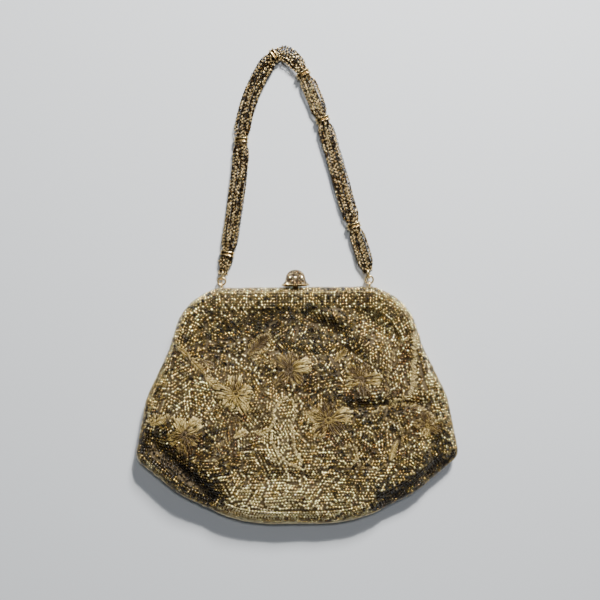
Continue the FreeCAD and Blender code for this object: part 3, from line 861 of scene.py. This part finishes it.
def rear_edge_rows():
    """Rows that follow the outline down to the flat back."""
    rows = []
    drop = MIDDLE_Z - REAR_BEAD_Z
    angle, row = 0.2, 0
    while angle < math.pi / 2:
        line = OUTLINE + NORMALS * (REAR_ROLL * (1 - math.cos(angle)) - OUTSET)
        even, tangent, inward = even_row(line, 0.5 * (row % 2))
        keep = even[:, 1] < HINGE_Y - 5
        even, tangent, inward = kept_rows(keep, even, tangent, inward)
        rows.append((
            np.column_stack([even, np.full(len(even), MIDDLE_Z - drop * math.sin(angle))]),
            np.column_stack([tangent, np.zeros(len(even))]),
            np.column_stack([-inward * math.cos(angle), np.full(len(even), -math.sin(angle))]),
        ))
        arc = math.hypot(REAR_ROLL * math.sin(angle), drop * math.cos(angle))
        angle += ROW_PITCH / arc
        row += 1
    return gathered(rows)


def band_section(front, offset):
    """The band's section as (inset, height), moved out by offset."""
    top = BAND_TOP if front else REAR_BEAD_Z
    high = (top - MIDDLE_Z) if front else (MIDDLE_Z - top)
    points = []
    for k in range(25):
        a = math.radians(4 + 86 * k / 24)
        inset = BAND_ROLL * (1 - math.cos(a)) - (OUTSET + offset) * math.cos(a)
        points.append((inset, (high + offset) * math.sin(a)))
    flat_end = BAND_WIDTH - 1.2
    points += [(BAND_ROLL + (flat_end - BAND_ROLL) * k / 10, high + offset) for k in range(1, 11)]
    if front:
        points += [(flat_end + 0.9 + offset, high - 0.6), (flat_end + 1.3 + offset, high - 2.4)]
    line = np.array(points)
    line[:, 1] = MIDDLE_Z + line[:, 1] if front else MIDDLE_Z - line[:, 1]
    return line


def band_beads(name, front):
    """Beads in rows along a band, standing across it."""
    section = resampled(band_section(front, 0.0), ROW_PITCH)
    low_y = HINGE_Y if front else HINGE_Y - 4.5
    rows = []
    slope = unit(np.gradient(section, axis=0))
    for (inset, z), (run, rise) in zip(section, slope):
        even, tangent, inward = even_row(OUTLINE + NORMALS * inset, 0)
        keep = even[:, 1] > low_y
        even, tangent, inward = kept_rows(keep, even, tangent, inward)
        facing = abs(run) * (1 if front else -1)
        rows.append((
            np.column_stack([even, np.full(len(even), z)]),
            np.column_stack([inward * run, np.full(len(even), rise)]),
            np.column_stack([-inward * abs(rise), np.full(len(even), facing)]),
        ))
    centres, axes, normals = gathered(rows)
    axes = axes + RANDOM.normal(0, 0.2, (len(centres), 3))
    x, y, z = centres.T
    top = y > TOP_Y - TOP_FACE
    blocked = (np.abs(x) < STEM_ROOM + 0.4) & top & (z > 3) & (z < 11)
    for eye in (-EYE_X, EYE_X):
        blocked |= (np.hypot(x - eye, z - EYE_Z) < EYE_ROOM) & top
    centres, axes, normals = centres[~blocked], axes[~blocked], normals[~blocked]
    centres = centres + RANDOM.normal(0, 0.12, centres.shape)
    shades = bead_shades(centres[:, 0], centres[:, 1], SHADE_AND_TONE_PLACES)
    return bead_pieces(name, centres, axes, normals, shades)


def stem_slot(x, y, z):
    """Room in the bands' fabric for the clasp's stem as it tilts."""
    return abs(x) < STEM_ROOM and y > TOP_Y - TOP_FACE and 3.6 < z < 10.6


def band_net(name, front, node):
    """The band's fabric under its beads."""
    section = band_section(front, -0.85)
    low_y = HINGE_Y - 0.2 if front else HINGE_Y - 5
    keep = np.flatnonzero(OUTLINE[:, 1] > low_y)
    keep = np.roll(keep, -(np.argmax(np.diff(keep) > 1) + 1) if np.any(np.diff(keep) > 1) else 0)
    strip = OUTLINE[keep], NORMALS[keep]
    rows = [np.column_stack([strip[0] + strip[1] * inset, np.full(len(keep), z)]) for inset, z in section]
    points = np.concatenate(rows)
    faces = quads(len(section), len(keep), closed=False)
    faces = [face for face in faces if not stem_slot(*points[list(face)].mean(axis=0))]
    loops, totals = flat_faces(faces)
    net = mesh_object(name, points, loops, totals, [FABRIC])
    thick(net, 0.4)
    rigid_piece(net, "front_half" if front else "bag", "beaded_cover", node)


# ---------------------------------------------------------------- fabric sheets
def grid_sheet(name, height, drop, edge, skin, spacing=2.2):
    """Cloth over the bag's plan, moved drop below a height surface.

    edge(y) is how far in from the outline the cloth ends.
    """
    xs = np.arange(-109.0, 109.1, spacing)
    ys = np.arange(TOP_Y - BAG_HEIGHT, TOP_Y + 0.1, spacing)
    gx, gy = np.meshgrid(xs, ys)
    inside = depth_inside(gx, gy)
    limit = edge(gy)
    inner = inside > limit
    cells = inner[:-1, :-1] & inner[1:, :-1] & inner[:-1, 1:] & inner[1:, 1:]
    around = np.zeros(gx.shape, int)
    for i in (0, 1):
        for j in (0, 1):
            around[i:gx.shape[0] - 1 + i, j:gx.shape[1] - 1 + j] += cells
    used = around > 0
    rim = used & (around < 4)
    rx, ry = gx[rim], gy[rim]
    slope_x = depth_inside(rx + 0.5, ry) - depth_inside(rx - 0.5, ry)
    slope_y = depth_inside(rx, ry + 0.5) - depth_inside(rx, ry - 0.5)
    gap = np.clip(inside[rim] - limit[rim], 0, 1.3 * spacing)
    gx[rim] -= slope_x * gap
    gy[rim] -= slope_y * gap
    inside[rim] -= gap
    index = -np.ones(gx.shape, int)
    index[used] = np.arange(used.sum())
    z = height(gx[used], gy[used], np.maximum(inside[used], 0)) - drop
    points = np.column_stack([gx[used], gy[used], z])
    rows, columns = np.nonzero(cells)
    quads = np.column_stack([
        index[rows, columns], index[rows, columns + 1],
        index[rows + 1, columns + 1], index[rows + 1, columns],
    ])
    return mesh_object(name, points, quads.ravel(), np.full(len(quads), 4), [skin])


def front_edge(y):
    """The front panel fills the pouch, and above the hinge the frame's arch."""
    return np.where(y < HINGE_Y - 1, 0.9, BAND_WIDTH - 1.5)


def rear_edge(y):
    """The rear panel's cloth ends under its band above the hinge."""
    return np.where(y < HINGE_Y - 5, 0.9, BAND_WIDTH - 1.5)


def lining_edge(y):
    """The linings end inside the panels they line."""
    return np.where(y < HINGE_Y - 2, 2.6, BAND_WIDTH - 2.8)


def thick(piece, thickness, offset=0.0):
    """Gives cloth its thickness, in millimetres."""
    solid = piece.modifiers.new("thickness", "SOLIDIFY")
    solid.thickness = thickness * MM
    solid.offset = offset
    apply_modifiers(piece)


def apply_modifiers(piece):
    graph = bpy.context.evaluated_depsgraph_get()
    mesh = bpy.data.meshes.new_from_object(piece.evaluated_get(graph))
    piece.modifiers.clear()
    piece.data = mesh


def bending_piece(piece, slot, *nodes):
    """A piece of the front: its placement is baked into its mesh and the CAD nodes it replaces are hidden."""
    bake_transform(piece)
    if nodes:
        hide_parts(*nodes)


def rigid_piece(piece, body, slot, *nodes):
    """A piece that moves with one body."""
    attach(piece, body)
    if nodes:
        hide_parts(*nodes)


def make_front():
    """Front panel: net, beads in patches, beads along the edge, embroidery."""
    net = grid_sheet("front_net", front_height, 0.9, front_edge, FABRIC)
    thick(net, 0.5, -1)
    bending_piece(net, "beaded_fabric", "front_panel_lower", "front_panel_upper")
    places, turns = patchwork(front_angle, 12.0)
    x, y = places[:, 0], places[:, 1]
    inside = depth_inside(x, y)
    centres, axes, normals = front_edge_rows()
    edge = front_roll(y) * (1 - math.cos(edge_angles()[-1])) + 0.6
    keep = np.where(y < HINGE_Y, inside > edge, inside > BAND_WIDTH + 0.6)
    keep &= ~embroidered(x, y)
    places, turns = places[keep], turns[keep]
    border = centres[centres[:, 2] > 12][:, :2]
    kept = spaced(np.vstack([border, places]), 1.6, len(border))
    kept = kept[kept >= len(border)] - len(border)
    x, y, turns = places[kept, 0], places[kept, 1], turns[kept]
    for piece in place_beads("beads_front", x, y, turns, front_height, 1, SHADE_AND_TONE_PLACES):
        bending_piece(piece, "beaded_fabric")
    centres = centres + RANDOM.normal(0, 0.08, centres.shape)
    axes = axes + RANDOM.normal(0, 0.12, axes.shape)
    shades = bead_shades(centres[:, 0], centres[:, 1], SHADE_AND_TONE_PLACES)
    for piece in bead_pieces("beads_front_edge", centres, axes, normals, shades):
        bending_piece(piece, "beaded_fabric")
    bending_piece(make_embroidery(), "beaded_fabric")


def make_rear():
    """Rear panel: net, beads in patches and beads along the edge."""
    net = grid_sheet("rear_net", rear_height, -0.9, rear_edge, FABRIC)
    thick(net, 0.5, 1)
    rigid_piece(net, "bag", "beaded_fabric", "rear_panel")
    places, turns = patchwork(front_angle, 16.0)
    x, y = places[:, 0], places[:, 1]
    inside = depth_inside(x, y)
    keep = np.where(y < HINGE_Y - 5, inside > REAR_ROLL, inside > BAND_WIDTH + 1.5)
    places, turns = places[keep], turns[keep]
    kept = spaced(places, 1.62)
    x, y, turns = places[kept, 0], places[kept, 1], turns[kept]
    for piece in place_beads("beads_rear", x, y, turns, rear_height, -1, ()):
        rigid_piece(piece, "bag", "beaded_fabric")
    centres, axes, normals = rear_edge_rows()
    centres = centres + RANDOM.normal(0, 0.06, centres.shape)
    axes = axes + RANDOM.normal(0, 0.12, axes.shape)
    shades = bead_shades(centres[:, 0], centres[:, 1], SHADE_AND_TONE_PLACES)
    for piece in bead_pieces("beads_rear_edge", centres, axes, normals, shades):
        rigid_piece(piece, "bag", "beaded_fabric")


def make_bands():
    """Beaded bands over the two frame halves."""
    band_net("front_band_net", True, "front_frame_cover")
    band_net("rear_band_net", False, "rear_frame_cover")
    for piece in band_beads("beads_front_band", True):
        rigid_piece(piece, "front_half", "beaded_cover")
    for piece in band_beads("beads_rear_band", False):
        rigid_piece(piece, "bag", "beaded_cover")


# ---------------------------------------------------------------- chain handle
HANDLE_Z = 3.0
# The handle's middle line, from the left strand ring to the right one: (x, y).
HANDLE_ROUTE = [
    (-48.7, 93.0), (-43.4, 115.0), (-40.3, 138.0), (-36.6, 163.0), (-35.6, 191.0), (-30.0, 210.0),
    (-22.0, 226.5), (-13.8, 238.8), (-5.5, 240.5), (2.0, 233.5), (7.5, 224.0), (14.0, 210.0),
    (21.5, 189.0), (29.5, 161.0), (34.6, 140.0), (42.0, 115.5), (48.7, 93.0),
]
FOLD_Y = 186.0
# Distance along the route of each collar's middle, from the left end.
COLLAR_PLACES = {
    "collar_left_lower": 11.6,
    "collar_left_middle": 89.2,
    "collar_left_upper": 152.1,
    "collar_right_upper": 178.5,
    "collar_right_middle": 212.0,
    "collar_right_lower": 287.1,
}
COLLAR_HALF = (4.45, 2.75)   # half sizes across and up
LAYER_STRANDS = 8
RIBBON_WIDTH = 10.2          # between the outer strands' middles
NECK_WIDTH = 6.4
END_WIDTH = 5.0
RIBBON_THICKNESS = 2.4       # between the layers' middles
STRAND_OVERHANG = 2.6        # the last links hang over the oval end rings
LINK_PITCH = 1.15
LINK_RADIUS = 0.5
LINK_WIRE = 0.25


def route_line():
    """The handle's centreline, read from its smooth spline."""
    curve = bpy.data.curves.new("handle_route", "CURVE")
    curve.dimensions = "3D"
    curve.resolution_u = 24
    spline = curve.splines.new("NURBS")
    spline.points.add(len(HANDLE_ROUTE) - 1)
    for point, (x, y) in zip(spline.points, HANDLE_ROUTE):
        point.co = (x * MM, y * MM, HANDLE_Z * MM, 1.0)
    spline.order_u = 3
    spline.use_endpoint_u = True
    carrier = bpy.data.objects.new("handle_route", curve)
    bpy.context.scene.collection.objects.link(carrier)
    graph = bpy.context.evaluated_depsgraph_get()
    mesh = bpy.data.meshes.new_from_object(carrier.evaluated_get(graph))
    line = np.array([v.co for v in mesh.vertices]) / MM
    bpy.data.objects.remove(carrier)
    return resampled(line, 0.5)


def width_at(place, total):
    """Width of the strand bundle: squeezed by collars and at both ends."""
    width = np.full(len(place), RIBBON_WIDTH)
    for stop in COLLAR_PLACES.values():
        open_out = eased((np.abs(place - stop) - 1.4) / 7.0)
        width = np.minimum(width, NECK_WIDTH + (RIBBON_WIDTH - NECK_WIDTH) * open_out)
    for stop in (0.0, total):
        open_out = eased(np.abs(place - stop) / 9.0)
        width = np.minimum(width, END_WIDTH + (RIBBON_WIDTH - END_WIDTH) * open_out)
    return width


def ring_shape(radius, wire, around=7, sides=4, stretch=0.92):
    """One chain link in its XY plane, a little shorter along X."""
    points = []
    for i in range(around):
        a = 2 * math.pi * i / around
        for j in range(sides):
            b = 2 * math.pi * j / sides
            r = radius + wire * math.cos(b)
            points.append((r * math.cos(a) * stretch, r * math.sin(a), wire * math.sin(b)))
    return np.array(points), quads(around, sides, joined=True, order=(0, 3, 2, 1))


def strand_links(lane, layer, k, line, along, tangent):
    """Link places, directions, facings and shades of one strand."""
    total = along[-1] - STRAND_OVERHANG
    count = int((along[-1] + STRAND_OVERHANG) / LINK_PITCH)
    place = -STRAND_OVERHANG + (np.arange(count) + k % 2 + 0.2 * (k % 3)) * LINK_PITCH
    spot = interpolated(place, along, line)
    way = interpolated(place, along, tangent)
    side = np.column_stack([-way[:, 1], way[:, 0], np.zeros(count)])
    wander = 0.10 * np.sin(place / 15.0 + 2.1 * k) + 0.05 * np.sin(place / 5.3 + 1.3 * k)
    twist = 0.10 * np.sin(place / 21.0)
    half = width_at(place, total + STRAND_OVERHANG) / 2
    across = np.clip(lane + wander + twist, -1.0, 1.0) * half
    crown = RIBBON_THICKNESS / 2 * math.sqrt(max(1.15 - lane * lane, 0))
    swell = 0.25 * np.sin(place / 11.0 + 1.7 * k) + 0.1 * (1 - half / (RIBBON_WIDTH / 2)) * layer
    spot = spot + side * across[:, None]
    spot[:, 2] = np.clip(spot[:, 2] + layer * crown + swell, 0.95, 6.4)
    spot = spot + RANDOM.normal(0, 0.1, spot.shape)
    axis = unit(np.gradient(spot, axis=0))
    roll = np.where(np.arange(count) % 2 == 0, 0.15, 1.4) + RANDOM.normal(0, 0.25, count)
    normal = side * np.sin(roll)[:, None] + np.array([0, 0, 1.0]) * np.cos(roll)[:, None]
    # Painted light and shade: face-up (even) links of the top layer mostly draw the bright metal; edge-on
    # links and the middle and lower layers draw the darker metals as their shade.
    draw = RANDOM.random(count) + (0.0, 0.7, 1.0)[1 - layer] + 0.85 * (np.arange(count) % 2)
    return spot, axis, normal, np.searchsorted([0.68, 0.9], draw)


def extended(line, reach):
    """The same line made longer at both ends by straight runs."""
    first = line[0] - (line[1] - line[0]) / np.linalg.norm(line[1] - line[0]) * reach
    last = line[-1] + (line[-1] - line[-2]) / np.linalg.norm(line[-1] - line[-2]) * reach
    return np.vstack([first, line, last])


def make_handle():
    """Three layers of chain strands along the route, with their collars."""
    line = route_line()
    along = along_line(line)
    tangent = unit(np.gradient(line, axis=0))
    collars = [make_collar(name, place, line, along, tangent) for name, place in COLLAR_PLACES.items()]
    long_line = extended(line, STRAND_OVERHANG)
    long_along = along_line(long_line) - STRAND_OVERHANG
    long_tangent = np.vstack([tangent[:1], tangent, tangent[-1:]])
    for layer, name in ((1, "chain_strands_upper"), (0, "chain_strands_middle"), (-1, "chain_strands_lower")):
        parts = []
        for k in range(LAYER_STRANDS):
            lane = (-1 + 2 * k / (LAYER_STRANDS - 1)) * (0.98, 1.0, 0.9)[1 - layer]
            parts.append(strand_links(lane, layer, k + 1 - layer, long_line, long_along, long_tangent))
        centres, axes, normals, shades = (np.concatenate(group) for group in zip(*parts))
        frames = frames_from(axes, normals)
        link = ring_shape(LINK_RADIUS, LINK_WIRE)
        chains = swarm(name, link, centres, frames, np.ones((len(centres), 3)), shades, CHAIN)
        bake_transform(chains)
    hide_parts("strands_left_lower", "strands_left_middle", "strands_left_upper", "strands_top",
                "strands_right_upper", "strands_right_fold", "strands_right_middle", "strands_right_lower")


def make_collar(name, place, line, along, tangent):
    """Flattened gold sleeve with two raised rims round the strands."""
    centre = interpolated(place, along, line)
    way = interpolated(place, along, tangent)
    side = np.array([-way[1], way[0], 0])
    profile = [(-1.6, 0.15), (-1.45, 0.6), (-1.0, 0.64), (-0.7, 0.1), (-0.4, -0.05), (0.4, -0.05),
               (0.7, 0.1), (1.0, 0.64), (1.45, 0.6), (1.6, 0.15), (1.4, -0.25), (-1.4, -0.25)]
    around = 40
    points = []
    for k in range(around):
        a = 2 * math.pi * k / around
        c, s = math.cos(a), math.sin(a)
        corner = (abs(c) ** 3.2 + abs(s) ** 3.2) ** (-1 / 3.2)
        for step, rise in profile:
            across = side * c * corner * (COLLAR_HALF[0] + rise)
            up = np.array([0, 0, 1.0]) * s * corner * (COLLAR_HALF[1] + rise)
            points.append(centre + way * step + across + up)
    size = len(profile)
    loops, totals = flat_faces(quads(around, size, joined=True))
    channel = [int(3 <= j <= 5) for _ in range(around) for j in range(size)]
    piece = mesh_object(name + "_shaped", np.array(points), loops, totals, [GOLD, CHAIN[1]], channel)
    body = "handle_lower" if centre[1] < FOLD_Y else "handle_upper"
    rigid_piece(piece, body, "gold_fittings", name)
    return piece


# ---------------------------------------------------------------- clasp knob
KNOB_BASE_Y = 82.7
KNOB_RADIUS = 7.0
KNOB_SPREAD = 1.2            # the knob is oval, wider along the frame
KNOB_HEIGHT = 9.6
KNOB_Z = 7.9
STONE_SIZE = 0.85
STONE_COUNT = 150
BRIM_GRAINS = 38
GOLDEN_TURN = math.pi * (3 - math.sqrt(5))   # spreads the stones evenly


def knob_taper(height):
    """Narrows the dome between its flared foot and its top."""
    return 1 - 0.2 * np.sin(np.pi * np.clip(height, 0, 1) ** 0.7)


def knob_surface(turn, rise, lift):
    """Point and outward normal on the dome, lifted off it."""
    c, s = np.cos(rise) * knob_taper(np.sin(rise)), np.sin(rise)
    round_out = np.stack([np.cos(turn) * c, s, np.sin(turn) * c], axis=-1)
    radii = np.array([KNOB_RADIUS * KNOB_SPREAD, KNOB_HEIGHT, KNOB_RADIUS])
    point = round_out * radii + [0, KNOB_BASE_Y, KNOB_Z]
    normal = unit(round_out / radii)
    return point + normal * lift, normal


def make_knob():
    """Dome paved with cut stones, small prongs between them, and a brim."""
    profile = [(KNOB_HEIGHT * math.sin(a), (KNOB_RADIUS - 0.35) * math.cos(a) * knob_taper(math.sin(a)))
               for a in np.radians(np.linspace(0, 87, 18))]
    points, faces = lathe(profile, 48)
    turned = np.column_stack([points[:, 1] * KNOB_SPREAD, points[:, 0] + KNOB_BASE_Y, points[:, 2] + KNOB_Z])
    loops, totals = flat_faces([tuple(reversed(face)) for face in faces])
    # The dome under the stones is near-black metal: painted shade between the stones.
    dome = mesh_object("knob_dome", turned, loops, totals, [CHAIN[2]])
    rigid_piece(dome, "clasp", "gold_fittings", "clasp_cap")
    count = STONE_COUNT
    share = (np.arange(count) + 0.5) / count
    rises = np.arcsin(0.04 + 0.96 * share)
    turns = np.arange(count) * GOLDEN_TURN
    places, normals = knob_surface(turns, rises, 0.05)
    cut_stone = lathe([(-0.5, 0.35), (0.0, 0.95), (0.18, 0.95), (0.5, 0.5)], 8)
    tilt = normals + RANDOM.normal(0, 0.3, normals.shape)
    frames = frames_from(tilt, np.tile([0.1, 0.2, 1.0], (len(tilt), 1)))
    scales = STONE_SIZE * RANDOM.uniform(0.75, 1.25, (len(places), 1)) * np.ones((1, 3))
    stones = swarm("knob_stones", cut_stone, places, frames, scales,
                   RANDOM.choice(3, len(places), p=[0.4, 0.34, 0.26]), STONES)
    for face in stones.data.polygons:
        face.use_smooth = False
    rigid_piece(stones, "clasp", "clasp_stone_glass", "clasp_stones")
    grain = lathe([(-0.5, 0.25), (-0.2, 0.5), (0.2, 0.5), (0.5, 0.2)], 6)
    between, outward = knob_surface(turns + 0.55 * GOLDEN_TURN, rises, 0.25)
    frames = frames_from(outward, np.tile([0.1, 0.2, 1.0], (len(outward), 1)))
    prongs = swarm("knob_prongs", grain, between, frames, np.full((len(between), 3), 0.85),
                   np.zeros(len(between), int), [CHAIN[1]])
    rigid_piece(prongs, "clasp", "gold_fittings")
    make_brim()


def make_brim():
    """Scalloped brim of small gold grains round the knob's foot."""
    count = BRIM_GRAINS
    turn = 2 * math.pi * np.arange(count) / count
    out = np.column_stack([np.cos(turn), np.zeros(count), np.sin(turn)])
    oval = [(KNOB_RADIUS + 0.35) * KNOB_SPREAD, 0, KNOB_RADIUS + 0.35]
    places = out * oval + [0, KNOB_BASE_Y - 0.1, KNOB_Z]
    grain = lathe([(-0.62, 0.3), (-0.3, 0.62), (0.3, 0.62), (0.62, 0.3)], 8)
    frames = frames_from(out, np.tile([0.0, 1.0, 0.0], (count, 1)))
    brim = swarm("knob_brim", grain, places, frames, np.ones((count, 3)), np.zeros(count, int), [GOLD])
    rigid_piece(brim, "clasp", "gold_fittings")


# ---------------------------------------------------------------- lining
def front_lining_height(x, y, inside=None):
    crimp = 0.35 * np.sin(np.asarray(x) / 2.6 + np.sin(np.asarray(y) / 9.0))
    return front_height(x, y, inside) - 2.6 + crimp


def rear_lining_height(x, y, inside=None):
    crimp = 0.25 * np.sin(np.asarray(x) / 2.9 + np.sin(np.asarray(y) / 7.0))
    return rear_height(x, y, inside) + 2.0 + crimp


def make_linings():
    front = grid_sheet("front_lining", front_lining_height, 0.0, lining_edge, SATIN)
    thick(front, 0.3)
    bending_piece(front, "satin_lining", "lining_front_lower", "lining_front_upper")
    rear = grid_sheet("rear_lining", rear_lining_height, 0.0, lining_edge, SATIN)
    thick(rear, 0.3)
    rigid_piece(rear, "bag", "satin_lining", "lining_rear")


def make_pocket():
    """Slip pocket of two layers on the rear lining, with a rolled hem at its mouth."""
    low, high = (np.array(corner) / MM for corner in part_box("lining_pocket"))
    xs = np.linspace(low[0] + 0.3, high[0] - 0.3, 46)
    ys = np.linspace(low[1] + 0.3, high[1] - 0.6, 30)
    gx, gy = np.meshgrid(xs, ys)
    u, v = (gx - low[0]) / (high[0] - low[0]), (gy - low[1]) / (high[1] - low[1])
    sag = 0.45 * np.sin(math.pi * u) * eased(v * 1.3) + 0.12 * np.sin(gx / 2.3 + np.sin(gy / 5.0)) * eased(v)
    middle = (low[2] + high[2]) / 2
    points = np.column_stack([gx.ravel(), gy.ravel(), (middle - 0.2 + sag).ravel()])
    loops, totals = flat_faces(quads(len(ys), len(xs), closed=False))
    pocket = mesh_object("slip_pocket", points, loops, totals, [SATIN])
    thick(pocket, 0.4)
    rigid_piece(pocket, "bag", "satin_lining", "lining_pocket")
    rim = points[-len(xs):]
    hem = tubes("slip_pocket_hem", [rim], [0.45], [SATIN], [0], sides=8)
    rigid_piece(hem, "bag", "satin_lining")


# ---------------------------------------------------------------- CAD nodes that stay
def dress(names, skin):
    """Gives CAD nodes that show as they are a material."""
    for name in names:
        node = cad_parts[name]
        node.data.materials.clear()
        node.data.materials.append(skin)


def dress_nodes():
    dress(["rear_frame", "front_frame", "rear_clamp_strip", "front_clamp_strip", "clasp_bracket",
           "clasp_keeper", "keeper_rivets"], FRAME_GOLD)
    dress(["clasp_lever", "clasp_flange"], CHAIN[1])
    dress(["frame_eye_left", "frame_eye_right", "handle_ring_left", "handle_ring_right",
           "strand_ring_left", "strand_ring_right"], GOLD)
    dress(["hinge_pin_left", "hinge_pin_right", "clasp_pivot_pin", "clasp_spring"], STEEL)


# ---------------------------------------------------------------- studio
def area_light(name, place, target, size, power, color=(1, 1, 1)):
    light = bpy.data.lights.new(name, "AREA")
    light.shape = "DISK"
    light.size = size
    light.energy = power
    light.color = color
    made = bpy.data.objects.new(name, light)
    made.location = place
    made.rotation_euler = (Vector(target) - Vector(place)).to_track_quat("-Z", "Y").to_euler()
    bpy.context.scene.collection.objects.link(made)


def make_studio():
    bpy.ops.mesh.primitive_plane_add(size=6, location=(0, 0, -0.0005))
    floor = bpy.context.object
    floor.name = "studio_floor"
    paint = material("floor_paint", (0.73, 0.765, 0.815), roughness=0.75)
    floor.data.materials.append(paint)
    world = bpy.data.worlds.new("studio")
    bpy.context.scene.world = world
    world.use_nodes = True
    world.node_tree.nodes["Background"].inputs["Color"].default_value = (0.85, 0.92, 1.0, 1)
    world.node_tree.nodes["Background"].inputs["Strength"].default_value = 0.075
    area_light("window", (0.34, 1.0, 0.78), (0, 0, 0), 0.3, 24.0, (1.0, 0.985, 0.96))
    area_light("overhead", (0.1, 0.45, 1.3), (0, 0.05, 0), 0.2, 4.0)
    area_light("glint", (0.3, 0.92, 0.82), (0, 0.02, 0), 0.045, 12.0, (1.0, 0.97, 0.9))


def make_camera():
    camera = bpy.data.cameras.new("camera")
    camera.lens = 50
    camera.sensor_width = 36
    made = bpy.data.objects.new("camera", camera)
    made.location = (0.0029, 0.0724, 0.568)
    made.rotation_euler = (0, 0, math.radians(-0.55))
    bpy.context.scene.collection.objects.link(made)
    bpy.context.scene.camera = made


make_camera()
make_studio()
dress_nodes()
make_handle()
make_front()
make_rear()
make_bands()
make_knob()
make_linings()
make_pocket()
